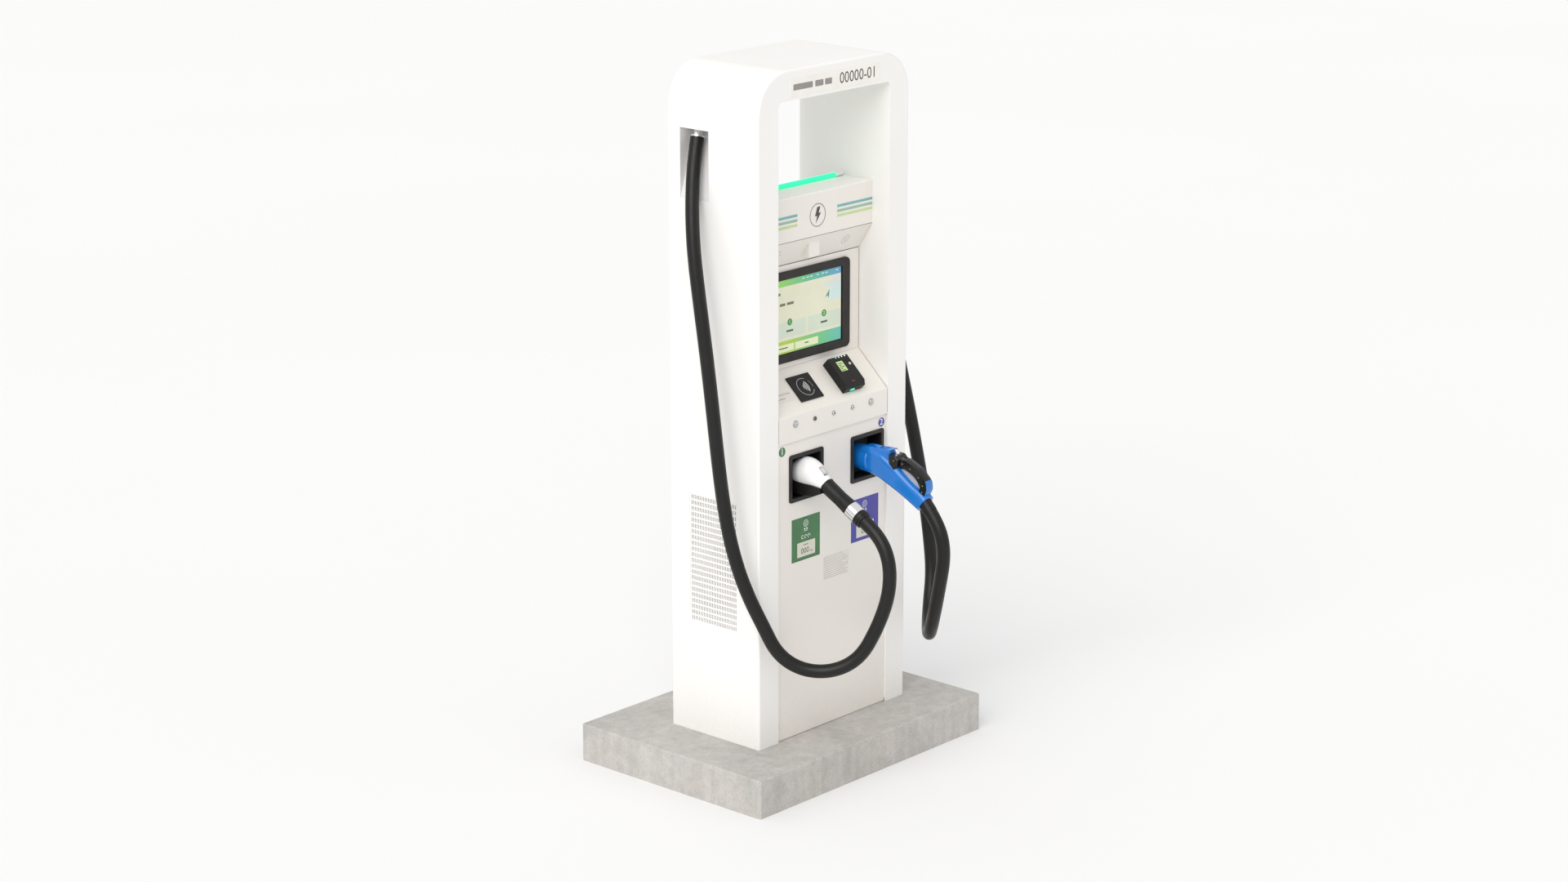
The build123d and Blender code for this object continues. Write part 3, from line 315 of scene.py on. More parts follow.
M = {
    "concrete": concrete(),
    "shell": paint("shell_paint", (0.90, 0.885, 0.858)),
    "panel": paint("panel_paint", (0.84, 0.80, 0.745)),
    # the deck's paint with a painted green glow of the light bar near the bar
    "deck": deck_paint_with_painted_glow("deck_paint_with_painted_glow", (0.92, 0.90, 0.87), (0.80, 1.0, 0.90)),
    # the shell's white made darker and greyer: painted shade inside the cable pockets
    "recess": paint("recess_paint", (0.81, 0.80, 0.795), 0.0),
    "galvanised": metal("galvanised", (0.55, 0.57, 0.59), (0.35, 0.6), (1, 1, 1), 40, 0.15, 0.18),
    "chrome": metal("chrome", (0.86, 0.86, 0.87), (0.05, 0.12), (1, 1, 1), 60, 0.02, 0.02),
    "steel": metal("brushed_steel", (0.50, 0.50, 0.51), (0.22, 0.40), (30, 1, 1), 160, 0.08, 0.08),
    "satin": metal("satin_steel", (0.74, 0.735, 0.72), (0.34, 0.5), (30, 1, 1), 160, 0.06, 0.06),
    "dark_steel": metal("dark_steel", (0.16, 0.16, 0.165), (0.28, 0.42), (1, 1, 1), 200, 0.06, 0.10),
    "black": moulded("black_plastic", (0.010, 0.009, 0.009), (0.36, 0.5), Specular_IOR_Level=0.3),
    "bezel": moulded("bezel_plastic", (0.026, 0.023, 0.022), (0.42, 0.55), Specular_IOR_Level=0.3),
    "socket": moulded("socket_plastic", (0.008, 0.008, 0.008), (0.5, 0.65), Specular_IOR_Level=0.25),
    "grey": moulded("grey_plastic", (0.36, 0.36, 0.37)),
    "latch": moulded("latch_plastic", (0.52, 0.515, 0.51), (0.25, 0.38)),
    "white": gloss("white_plastic", (0.87, 0.87, 0.87), (0.10, 0.18)),
    "blue": gloss("blue_plastic", (0.010, 0.185, 0.62), (0.12, 0.22)),
    "clear": gloss("clear_plastic", (0.78, 0.84, 0.80)),
    "grip": moulded("grip_rubber", (0.009, 0.0085, 0.008), (0.32, 0.46), 1500, 0.16, Specular_IOR_Level=0.32),
    "handle": moulded("handle_plastic", (0.007, 0.0065, 0.0065), (0.10, 0.18), 900, 0.03),
    "cable": cable_rubber("cable_rubber"),
    "foam": moulded("filter_foam", (0.56, 0.55, 0.54), (0.85, 0.95), 380, 0.9, 0.3),
    "screw": metal("screw_metal", (0.50, 0.46, 0.43), (0.2, 0.35), (1, 1, 1), 200, 0.04, 0.06),
    # the pale trigger darkened to grey-blue: painted shade in the handle's gap
    "trigger": gloss("trigger_plastic_shaded", (0.44, 0.47, 0.56)),
    "module": metal("module_steel", (0.62, 0.63, 0.64), (0.3, 0.5), (1, 1, 12), 90, 0.08, 0.1),
    "red": gloss("switch_red", (0.60, 0.03, 0.025)),
    "screen_edge": gloss("screen_edge", (0.010, 0.014, 0.016), (0.06, 0.12)),
    "display": moulded("display_case", (0.05, 0.05, 0.055)),
    "beige": moulded("key_beige", (0.70, 0.60, 0.50), (0.35, 0.5)),
    "plate": moulded("plate_vinyl", (0.89, 0.865, 0.815), (0.4, 0.52), 700, 0.05, 0.03),
    "vinyl": moulded("label_vinyl", (0.80, 0.765, 0.725), (0.4, 0.52), 700, 0.06, 0.04),
    "green_vinyl": moulded("green_vinyl", (0.062, 0.195, 0.078), (0.35, 0.5), 700, 0.06, 0.08),
    "indigo_vinyl": moulded("indigo_vinyl", (0.068, 0.062, 0.345), (0.35, 0.5), 700, 0.06, 0.08),
    "cream_vinyl": moulded("cream_vinyl", (0.70, 0.69, 0.58), (0.4, 0.52), 700, 0.06, 0.04),
    "white_ink": moulded("white_ink", (0.80, 0.82, 0.80), (0.4, 0.52), 700, 0.05, 0.04),
    "ink": moulded("dark_ink", (0.085, 0.075, 0.07), (0.45, 0.6), 700, 0.05, 0.10),
    "seam": moulded("seam_shadow", (0.22, 0.21, 0.20), (0.6, 0.7), 700, 0.05, 0.10),
    "pale_ink": moulded("pale_ink", (0.30, 0.28, 0.27), (0.45, 0.6), 700, 0.05, 0.10),
    "pink_ink": moulded("pink_ink", (0.44, 0.37, 0.33), (0.45, 0.6), 700, 0.05, 0.10),
    "teal_stripe": moulded("teal_stripe", (0.195, 0.445, 0.46), (0.35, 0.5), 700, 0.05, 0.06),
    "sage_stripe": moulded("sage_stripe", (0.33, 0.49, 0.38), (0.35, 0.5), 700, 0.05, 0.06),
    "lime_stripe": moulded("lime_stripe", (0.55, 0.68, 0.34), (0.35, 0.5), 700, 0.05, 0.06),
    "led_bar": lit("led_bar", (0.018, 0.66, 0.30), 1.15, 0.4, 0.06),
    "led_green": lit("led_green", (0.05, 0.75, 0.45), 1.2),
    "led_white": lit("led_white", (0.65, 0.80, 0.78), 0.7),
    "lcd": lit("lcd_green", (0.44, 0.56, 0.26), 0.35),
    "lcd_dark": moulded("lcd_dark", (0.12, 0.17, 0.07), (0.3, 0.4)),
    "lens": gloss("camera_lens", (0.012, 0.012, 0.016), (0.04, 0.08)),
    "ui_cream": lit("ui_cream", (0.60, 0.60, 0.46), 0.32, 0.25, 0.04),
    "ui_panel": lit("ui_panel", (0.50, 0.56, 0.46), 0.35, 0.25, 0.04),
    "ui_sky": lit("ui_sky", (0.47, 0.58, 0.57), 0.4, 0.25, 0.05),
    "ui_lilac": lit("ui_lilac", (0.52, 0.55, 0.52), 0.4, 0.25, 0.05),
    "ui_tile": lit("ui_tile", (0.62, 0.66, 0.42), 0.35, 0.25, 0.04),
    "ui_green": lit("ui_green", (0.06, 0.24, 0.05), 0.25, 0.3, 0.05),
    "ui_teal": lit("ui_teal", (0.06, 0.25, 0.25), 0.25, 0.3, 0.05),
    "ui_grey": lit("ui_grey", (0.15, 0.165, 0.11), 0.12, 0.3, 0.05),
    "ui_text": lit("ui_text", (0.10, 0.11, 0.07), 0.1, 0.3, 0.05),
    "ui_top": sweep_lit(
        "ui_top", -0.17, 0.19,
        [(0.26, 0.55, 0.10), (0.20, 0.46, 0.12), (0.10, 0.38, 0.22), (0.08, 0.33, 0.34), (0.10, 0.26, 0.45)],
        0.35),
    "ui_bottom": sweep_lit(
        "ui_bottom", -0.17, 0.19,
        [(0.36, 0.46, 0.05), (0.33, 0.46, 0.06), (0.18, 0.42, 0.14), (0.12, 0.42, 0.20), (0.10, 0.40, 0.36)],
        0.35),
}

CAD_LOOKS = {
    "concrete": ["plinth"],
    "shell": ["arch_shell", "vent_grilles", "rear_door"],
    "panel": ["front_panel", "console_housing", "screen_panel", "header_fascia", "camera_hood"],
    "deck": ["top_deck"],
    "recess": ["recess_pockets"],
    "galvanised": ["base_plate", "anchor_bolts", "inner_frame", "mounting_plate"],
    "foam": ["vent_filters"],
    "chrome": ["cable_glands", "connector_1_clamp", "connector_2_release"],
    "black": [
        "fan_housings", "fan_rotor_lower", "fan_rotor_upper", "speakers", "contactless_pad",
        "card_reader_body", "contactors", "door_handle", "connector_1_face", "connector_2_face",
    ],
    "socket": ["holster_sockets"],
    "bezel": ["holster_bezels", "screen_bezel"],
    "led_bar": ["light_bar"],
    "clear": ["light_bar_caps"],
    "screen_edge": ["screen_glass"],
    "display": ["display_module"],
    "steel": ["button_barrels", "door_hinges"],
    "satin": ["push_button_1", "push_button_3", "push_button_4", "push_button_5"],
    "dark_steel": ["push_button_2"],
    "lcd": ["card_reader_window"],
    "beige": ["card_reader_key"],
    "vinyl": ["front_labels"],
    "plate": ["id_plate"],
    "white": ["connector_1_shell"],
    "grip": ["connector_1_grip", "connector_1_boot", "connector_2_boot"],
    "latch": ["connector_1_latch"],
    "blue": ["connector_2_shell"],
    "handle": ["connector_2_handle"],
    "trigger": ["connector_2_trigger"],
    "cable": ["charge_cable_left", "charge_cable_right"],
    "module": ["power_modules"],
    "grey": ["main_switch"],
    "red": ["main_switch_knob"],
}
for look, names in CAD_LOOKS.items():
    for name in names:
        nodes[name].data.materials.clear()
        nodes[name].data.materials.append(M[look])


# ------------------------------------------------------------------ making pieces
def add(name, mesh, body, looks=()):
    obj = bpy.data.objects.new(name, mesh)
    scene.collection.objects.link(obj)
    for look in looks:
        mesh.materials.append(M[look])
    if body:
        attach(obj, body)
    return obj


def smooth(mesh, angle=40):
    """Smooth faces, with the edges sharper than the angle left crisp."""
    shaped = bmesh.new()
    shaped.from_mesh(mesh)
    for face in shaped.faces:
        face.smooth = True
    for edge in shaped.edges:
        edge.smooth = edge.is_manifold and edge.calc_face_angle(0) < math.radians(angle)
    shaped.to_mesh(mesh)
    shaped.free()


def line_of(points, resolution=10):
    """Points along the smooth curve of a route."""
    curve = bpy.data.curves.new("route", "CURVE")
    curve.dimensions = "3D"
    spline = curve.splines.new("NURBS")
    spline.points.add(len(points) - 1)
    for point, place in zip(spline.points, points):
        point.co = (*place, 1)
    spline.order_u = 3
    spline.use_endpoint_u = True
    curve.resolution_u = resolution
    holder = bpy.data.objects.new("route", curve)
    scene.collection.objects.link(holder)
    bpy.context.view_layer.update()
    found = holder.evaluated_get(bpy.context.evaluated_depsgraph_get())
    mesh = bpy.data.meshes.new_from_object(found)
    line = [vertex.co.copy() for vertex in mesh.vertices]
    bpy.data.objects.remove(holder)
    bpy.data.meshes.remove(mesh)
    return line


def tube(name, line, radius, sides=28):
    """A closed round tube along the line."""
    shaped = bmesh.new()
    rings = []
    normal = None
    for i, place in enumerate(line):
        ahead = (line[min(i + 1, len(line) - 1)] - line[max(i - 1, 0)]).normalized()
        normal = Vector((1, 0, 0)) if normal is None else normal
        normal = (normal - ahead * normal.dot(ahead)).normalized()
        side = ahead.cross(normal)
        ring = []
        for step in range(sides):
            turn = 2 * math.pi * step / sides
            ring.append(shaped.verts.new(place + (normal * math.cos(turn) + side * math.sin(turn)) * radius))
        rings.append(ring)
    for a, b in zip(rings, rings[1:]):
        for i in range(sides):
            shaped.faces.new((a[i], a[(i + 1) % sides], b[(i + 1) % sides], b[i]))
    shaped.faces.new(rings[0][::-1])
    shaped.faces.new(rings[-1])
    mesh = bpy.data.meshes.new(name)
    shaped.to_mesh(mesh)
    shaped.free()
    smooth(mesh, 50)
    return mesh


def lathe(name, profile, origin, axis, sides=48):
    """A closed turned piece: profile is (radius, distance along the axis), in millimetres."""
    axis = Vector(axis).normalized()
    across = axis.orthogonal().normalized()
    other = axis.cross(across)
    shaped = bmesh.new()
    rings = []
    for radius, along in profile:
        centre = origin + axis * along / 1000
        if radius < 1e-6:
            rings.append([shaped.verts.new(centre)])
            continue
        ring = []
        for step in range(sides):
            turn = 2 * math.pi * step / sides
            spoke = across * math.cos(turn) + other * math.sin(turn)
            ring.append(shaped.verts.new(centre + spoke * radius / 1000))
        rings.append(ring)
    for a, b in zip(rings, rings[1:]):
        for i in range(sides):
            j = (i + 1) % sides
            if len(a) == 1:
                shaped.faces.new((a[0], b[j], b[i]))
            elif len(b) == 1:
                shaped.faces.new((a[i], a[j], b[0]))
            else:
                shaped.faces.new((a[i], a[j], b[j], b[i]))
    for ring, flip in ((rings[0], True), (rings[-1], False)):
        if len(ring) > 1:
            shaped.faces.new(ring[::-1] if flip else ring)
    bmesh.ops.recalc_face_normals(shaped, faces=shaped.faces)
    mesh = bpy.data.meshes.new(name)
    shaped.to_mesh(mesh)
    shaped.free()
    smooth(mesh)
    return mesh


def rect(u0, v0, u1, v1, r=0.0):
    """A rectangle's outline, its corners rounded by r."""
    if r <= 0:
        return [(u0, v0), (u1, v0), (u1, v1), (u0, v1)]
    outline = []
    corners = ((u1 - r, v0 + r, -90), (u1 - r, v1 - r, 0), (u0 + r, v1 - r, 90), (u0 + r, v0 + r, 180))
    for cu, cv, start in corners:
        for step in range(5):
            turn = math.radians(start + step * 22.5)
            outline.append((cu + r * math.cos(turn), cv + r * math.sin(turn)))
    return outline


def disc(u, v, r, sides=40):
    turns = [2 * math.pi * i / sides for i in range(sides)]
    return [(u + r * math.cos(turn), v + r * math.sin(turn)) for turn in turns]


def arc(u, v, r, width, start, end, steps=24):
    """A band round a centre, from one angle to another in degrees."""
    turns = [math.radians(start + (end - start) * i / steps) for i in range(steps + 1)]
    outer = [(u + (r + width / 2) * math.cos(t), v + (r + width / 2) * math.sin(t)) for t in turns]
    inner = [(u + (r - width / 2) * math.cos(t), v + (r - width / 2) * math.sin(t)) for t in turns]
    return outer + inner[::-1]


def ring(u, v, r, width):
    return [arc(u, v, r, width, 0, 180), arc(u, v, r, width, 180, 360)]


def plates(name, place, items, body):
    """Thin closed plates on a surface: items are (outline, low, high, look)."""
    looks = sorted({item[3] for item in items})
    shaped = bmesh.new()
    for outline, low, high, look in items:
        area = sum(a[0] * b[1] - b[0] * a[1] for a, b in zip(outline, outline[1:] + outline[:1]))
        outline = outline if area > 0 else outline[::-1]
        floor = [shaped.verts.new(place(u, v, low)) for u, v in outline]
        roof = [shaped.verts.new(place(u, v, high)) for u, v in outline]
        made = [shaped.faces.new(roof), shaped.faces.new(floor[::-1])]
        for i in range(len(outline)):
            j = (i + 1) % len(outline)
            made.append(shaped.faces.new((floor[i], floor[j], roof[j], roof[i])))
        for face in made:
            face.material_index = looks.index(look)
    bmesh.ops.recalc_face_normals(shaped, faces=shaped.faces)
    mesh = bpy.data.meshes.new(name)
    shaped.to_mesh(mesh)
    shaped.free()
    return add(name, mesh, body, looks)


def digits(name, text, place, u, v, size, low, high, look, body, squeeze=1.0, bold=0.0):
    """Raised figures, centred on (u, v)."""
    curve = bpy.data.curves.new(name, "FONT")
    curve.body = text
    curve.align_x, curve.align_y = "CENTER", "CENTER"
    curve.size = size
    curve.extrude = 0.5
    curve.offset = bold
    curve.resolution_u = 4
    holder = bpy.data.objects.new(name + "_text", curve)
    scene.collection.objects.link(holder)
    bpy.context.view_layer.update()
    found = holder.evaluated_get(bpy.context.evaluated_depsgraph_get())
    mesh = bpy.data.meshes.new_from_object(found)
    bpy.data.objects.remove(holder)
    mesh.name = name
    for vertex in mesh.vertices:
        x, y, z = vertex.co
        vertex.co = place(u + x * squeeze, v + y, low + (z + 0.5) * (high - low))
    shaped = bmesh.new()
    shaped.from_mesh(mesh)
    bmesh.ops.remove_doubles(shaped, verts=shaped.verts, dist=1e-6)
    bmesh.ops.recalc_face_normals(shaped, faces=shaped.faces)
    shaped.to_mesh(mesh)
    shaped.free()
    mesh.materials.clear()
    return add(name, mesh, body, [look])


# ------------------------------------------------------------------ the two charging leads
CABLE_D = 0.046
LEFT_ROUTE = [
    (-0.329, 0.0795, 2.169), (-0.351, 0.0705, 2.114), (-0.379, 0.0545, 2.039), (-0.411, 0.0285, 1.934),
    (-0.433, 0.0005, 1.813), (-0.443, -0.0285, 1.686), (-0.449, -0.0565, 1.554), (-0.452, -0.0805, 1.421),
    (-0.454, -0.1015, 1.287), (-0.455, -0.1205, 1.153), (-0.455, -0.1415, 1.019), (-0.45, -0.1655, 0.891),
    (-0.439, -0.1955, 0.779), (-0.422, -0.2295, 0.683), (-0.4, -0.2655, 0.598), (-0.369, -0.3055, 0.493),
    (-0.316, -0.3725, 0.44), (-0.255, -0.4535, 0.44), (-0.202, -0.5225, 0.49), (-0.167, -0.5645, 0.595),
    (-0.139, -0.5865, 0.697), (-0.126, -0.5835, 0.783), (-0.122, -0.5615, 0.849), (-0.122, -0.5175, 0.901),
    (-0.122, -0.4655, 0.931),
]
RIGHT_ROUTE = [
    (0.351, 0.0795, 2.169), (0.373, 0.0705, 2.114), (0.402, 0.0555, 2.041), (0.431, 0.0385, 1.951),
    (0.452, 0.0225, 1.83), (0.466, -0.0035, 1.695), (0.477, -0.0365, 1.551), (0.485, -0.0725, 1.401),
    (0.491, -0.1105, 1.248), (0.495, -0.1485, 1.098), (0.496, -0.1835, 0.953), (0.495, -0.2165, 0.813),
    (0.491, -0.2425, 0.683), (0.481, -0.2635, 0.567), (0.437, -0.2875, 0.463), (0.369, -0.3395, 0.414),
    (0.299, -0.4015, 0.414), (0.245, -0.4555, 0.465), (0.214, -0.4995, 0.561), (0.201, -0.5285, 0.657),
    (0.193, -0.5485, 0.737), (0.189, -0.5485, 0.8), (0.189, -0.5275, 0.856), (0.189, -0.4925, 0.898),
]


def lead(name, route, node):
    """A charging lead: a round tube along the route, in place of the CAD cable, which it hides."""
    line = line_of(route)
    obj = add(name, tube(name, line, CABLE_D / 2), None, ["cable"])
    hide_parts(node)
    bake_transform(obj)
    return obj


lead("lead_left", LEFT_ROUTE, "charge_cable_left")
lead("lead_right", RIGHT_ROUTE, "charge_cable_right")

# ------------------------------------------------------------------ header stripes and mark
stripes = []
for v, look in ((1771.5, "teal_stripe"), (1755, "sage_stripe"), (1739, "lime_stripe")):
    stripes.append((rect(-276, v - 4.5, -101, v + 4.5), 0, 0.4, look))
    stripes.append((rect(98, v - 4.5, 276, v + 4.5), 0, 0.4, look))
plates("header_stripes", HEADER, stripes, "cabinet")
BOLT = [(-3, 34), (16, 34), (6, 8), (20, 8), (-12, -34), (-3, -4), (-17, -4)]
mark = [([(u * 0.8, v * 0.8 + 1757) for u, v in BOLT], 0, 0.4, "ink")]
for part in ring(0, 1757, 38, 3.2):
    mark.append((part, 0, 0.4, "pale_ink"))
plates("header_mark", HEADER, mark, "cabinet")

# ------------------------------------------------------------------ clear ends of the light bar
SIDES = ((-1, "left"), (1, "right"))
for side, end in SIDES:
    sleeve = lathe(
        f"bar_sleeve_{side}", [(0, 0), (8.8, 0), (8.9, 0.6), (8.9, 33), (8.0, 35), (0, 35)],
        at(side * 227, 200, 1841), (side, 0, 0))
    add(f"bar_sleeve_{end}", sleeve, "cabinet", ["clear"])
    pin = lathe(
        f"bar_pin_{side}", [(0, -0.6), (2.6, -0.6), (2.4, 0.8), (1.4, 1.3), (0, 1.3)],
        at(side * 269, 200, 1835), (0, 0, 1), 20)
    add(f"bar_pin_{end}", pin, "cabinet", ["lens"])

# ------------------------------------------------------------------ number plate on the top beam
id_items = [(rect(-219, 2185, 222, 2247, 2), 0.8, 1.0, "plate")]
words = ((-206, -112), (-100, -60), (-52, -18))
for u0, u1 in words:
    id_items.append((rect(u0, 2206, u1, 2226, 3), 1.0, 1.15, "pale_ink"))
plates("id_print", FRONT, id_items, "cabinet")
digits("id_number", "00000-01", FRONT, 112, 2216, 52, 1.0, 1.2, "ink", "cabinet", 0.93)

# ------------------------------------------------------------------ screen picture
picture = [
    (rect(-185, 1297, 176, 1547), 0.0, 0.15, "ui_cream"),
    (rect(-185, 1525, 176, 1547), 0.15, 0.25, "ui_top"),
    (rect(-185, 1297, 176, 1340), 0.15, 0.25, "ui_bottom"),
    (rect(-170, 1350, -2, 1403), 0.15, 0.25, "ui_panel"),
    (rect(10, 1350, 173, 1403), 0.15, 0.25, "ui_panel"),
    (rect(-178, 1303, -61, 1327), 0.25, 0.35, "ui_tile"),
    (rect(-55, 1303, 60, 1327), 0.25, 0.35, "ui_tile"),
    (rect(90, 1490, 132, 1508), 0.15, 0.22, "ui_lilac"),
    (rect(132, 1492, 176, 1525), 0.15, 0.22, "ui_lilac"),
    (rect(120, 1440, 176, 1492), 0.15, 0.25, "ui_sky"),
    ([(94, 1452), (118, 1478), (113, 1448), (107, 1459)], 0.25, 0.35, "ui_teal"),
    (disc(90, 1445, 3), 0.25, 0.35, "ui_sky"),
    (disc(-82, 1401, 12), 0.25, 0.35, "ui_green"),
    (disc(90, 1401, 12), 0.25, 0.35, "ui_green"),
    (rect(-99, 1368, -65, 1375, 2), 0.25, 0.3, "ui_text"),
    (rect(73, 1368, 107, 1375, 2), 0.25, 0.3, "ui_text"),
    (rect(-136, 1314, -92, 1318, 1.5), 0.35, 0.4, "ui_text"),
    (rect(-8, 1314, 12, 1318, 1.5), 0.35, 0.4, "ui_text"),
    (rect(-168, 1497, -128, 1506, 3), 0.15, 0.22, "ui_grey"),
]
for u0, u1 in ((-166, -140), (-132, -104), (-96, -62)):
    picture.append((rect(u0, 1460, u1, 1469, 3), 0.15, 0.22, "ui_grey"))
for u in (-20, 2, 20, 52, 78, 96, 150):
    picture.append((rect(u, 1537, u + 12, 1540, 1), 0.25, 0.3, "ui_tile"))
plates("screen_picture", GLASS, picture, "cabinet")
digits("screen_number_1", "1", GLASS, -82, 1401, 17, 0.35, 0.4, "ui_tile", "cabinet")
digits("screen_number_2", "2", GLASS, 90, 1401, 17, 0.35, 0.4, "ui_tile", "cabinet")

# ------------------------------------------------------------------ printed labels on the front panel
PRINT = 0.6                          # the labels' own thickness


def pictogram(u, v, look):
    """The face of a connector: a ring of pins over a pair of larger ones."""
    low, high = PRINT + 0.15, PRINT + 0.25
    items = [(part, low, high, look) for part in ring(u, v, 11, 1.8)]
    for step in range(7):
        turn = math.radians(60 * step)
        reach = 5.8 if step else 0
        items.append((disc(u + reach * math.sin(turn), v + reach * math.cos(turn), 1.6, 16), low, high, look))
    for side in (-1, 1):
        items.append((disc(u + side * 5.6, v - 19, 3.4, 20), low, high, look))
    items.append((rect(u - 10, v - 26.5, u + 10, v - 24.8, 0.8), low, high, look))
    return items


def label(name, u0, u1, ground, number):
    middle = (u0 + u1) / 2
    items = [(rect(u0, 614, u1, 764), PRINT, PRINT + 0.15, ground)]
    items.extend(pictogram(middle, 740, "white_ink"))
    items.append((rect(u0 + 28, 626, u1 - 24, 677, 2), PRINT + 0.15, PRINT + 0.25, "cream_vinyl"))
    items.append((rect(middle - 12, 664, middle + 12, 668, 1.5), PRINT + 0.25, PRINT + 0.3, "pale_ink"))
    items.append((rect(middle + 22, 637, middle + 34, 641, 1), PRINT + 0.25, PRINT + 0.3, "pale_ink"))
    plates(name, PANEL, items, "cabinet")
    for step in range(3):
        glyph = arc(middle - 16 + 16 * step, 694, 5.6, 2.2, 40 - 30 * step, 320 - 30 * step)
        plates(f"{name}_glyph_{step + 1}", PANEL, [(glyph, PRINT + 0.15, PRINT + 0.25, "white_ink")],
               "cabinet")
    digits(name + "_number", number, PANEL, middle - 4, 645, 27, PRINT + 0.25, PRINT + 0.35, "ink", "cabinet")


label("label_left", -205, -63, "green_vinyl", "000")
label("label_right", 97, 239, "indigo_vinyl", "00")
for number, u, ground in (("1", -252, "green_vinyl"), ("2", 252, "indigo_vinyl")):
    plates(f"badge_{number}", PANEL, [(disc(u, 1010, 16), PRINT, PRINT + 0.15, ground)], "cabinet")
    digits(f"badge_{number}_number", number, PANEL, u, 1010, 31, PRINT + 0.15, PRINT + 0.3, "white_ink",
           "cabinet", 1.1, 0.2)
fine = []
for row, length in enumerate((124, 118, 126, 110, 121, 127, 96, 122, 126, 115, 104, 98)):
    v = 520 + row * 6.8
    fine.append((rect(-43, v, -43 + length, v + 1.3), PRINT, PRINT + 0.12, "pink_ink"))
plates("rating_print", PANEL, fine, "cabinet")

# ------------------------------------------------------------------ console fittings
notice = []
for row, (u0, u1) in enumerate(((-238, -152), (-238, -186))):
    notice.append((rect(u0, 84 - row * 16, u1, 86.5 - row * 16), 0.12, 0.2, "pink_ink"))
notice.append((rect(-262, 54, -148, 94, 2), 0.0, 0.12, "vinyl"))
plates("console_notice", CONSOLE, notice, "cabinet")

pad = [(part, 6, 6.25, "grey") for part in (arc(-76, 88, 34, 2.2, 62, 330), arc(-76, 88, 34, 1.2, 348, 395))]
for reach in (9, 16, 23, 30):
    pad.append((arc(-92, 88, reach, 2.4, -42, 42), 6, 6.25, "white_ink"))
plates("pad_print", CONSOLE, pad, "cabinet")

reader = []
for step, look in enumerate(("led_green", "led_white", "led_white", "led_white")):
    reader.append((disc(104 + step * 15, 146, 2.6, 20), 34, 34.6, look))
reader.append((rect(104, 46.4, 120, 48.2, 0.8), 34, 34.2, "red"))
plates("reader_lamps", CONSOLE, reader, "cabinet")
window = []
for row in range(5):
    wide = (22, 14, 24, 10, 19)[row]
    window.append((rect(95, 121 - row * 7, 95 + wide, 124 - row * 7), 33.4, 33.7, "lcd_dark"))
plates("reader_figures", CONSOLE, window, "cabinet")
plates("reader_glow", CONSOLE, [
    (rect(94, 25.6, 118, 27.4, 0.8), 10.4, 12.4, "led_green"),
    (rect(97, 24.6, 112, 27.4, 1), 13.4, 17.4, "led_green"),
], "cabinet")

KEY_Z = 1095                         # height of the five lip buttons
CAPS = Place(at(0, -4.5, 0), (0, 0, 1), (0, -1, 0))
for number, u, dot in ((2, -97, 3.6), (3, -2, 3.6), (4, 94, 2.6)):
    plates(f"button_dot_{number}", CAPS, [(disc(u, KEY_Z, dot, 20), -0.3, 0.25, "ink")],
           f"push_button_{number}")
for number, u in ((1, -193), (5, 189)):
    glyph = [
        (arc(u - 1.5, KEY_Z, 4.0, 1.2, 60, 320), 0, 0.25, "ink"),
        (rect(u, KEY_Z - 1, u + 5, KEY_Z + 1), 0, 0.25, "ink"),
    ]
    plates(f"button_glyph_{number}", CAPS, glyph, f"push_button_{number}")

# ------------------------------------------------------------------ fittings of the two connectors
X2 = 178                             # middle of the right-hand connector


def band_over(name, path, half, thick, crown, body, look):
    """A crowned strip laid over the right-hand connector's guard: path is (y, z, outward y, outward z)."""
    shaped = bmesh.new()
    rows = []
    for y, z, out_y, out_z in path:
        row = [shaped.verts.new(at(X2 + u, y, z)) for u in (-half, half)]
        for step in range(9):
            u = half * (1 - step / 4)
            rise = thick + crown * (1 - (u / half) ** 2)
            row.append(shaped.verts.new(at(X2 + u, y + out_y * rise, z + out_z * rise)))
        rows.append(row)
    for a, b in zip(rows, rows[1:]):
        for i in range(len(a)):
            j = (i + 1) % len(a)
            shaped.faces.new((a[i], a[j], b[j], b[i]))
    shaped.faces.new(rows[0][::-1])
    shaped.faces.new(rows[-1])
    bmesh.ops.recalc_face_normals(shaped, faces=shaped.faces)
    mesh = bpy.data.meshes.new(name)
    shaped.to_mesh(mesh)
    shaped.free()
    smooth(mesh)
    return add(name, mesh, body, [look])


def arc_path(y, z, radius, start, end, steps=10):
    """Points of an arc in the YZ plane with their outward directions, in degrees from +Y towards +Z."""
    turns = [math.radians(start + (end - start) * i / steps) for i in range(steps + 1)]
    return [(y + radius * math.cos(t), z + radius * math.sin(t), math.cos(t), math.sin(t)) for t in turns]


def screw(name, x, y, z, body, look):
    """A small domed screw on a left-hand cheek."""
    head = lathe(
        name, [(0, -0.6), (1.7, -0.6), (1.9, 0.2), (1.4, 0.8), (0.6, 1.0), (0.5, 0.6), (0, 0.6)],
        at(x, y, z), (-1, 0, 0), 20)
    add(name, head, body, [look])


for number, (x, y, z) in enumerate((
    (149, -134, 922), (160, -164, 914), (160, -198, 902.5),
    (160, -234, 879.5), (160, -252, 854), (160, -250, 832),
), 1):
    screw(f"guard_screw_{number}", x, y, z, "connector_2", "screw")

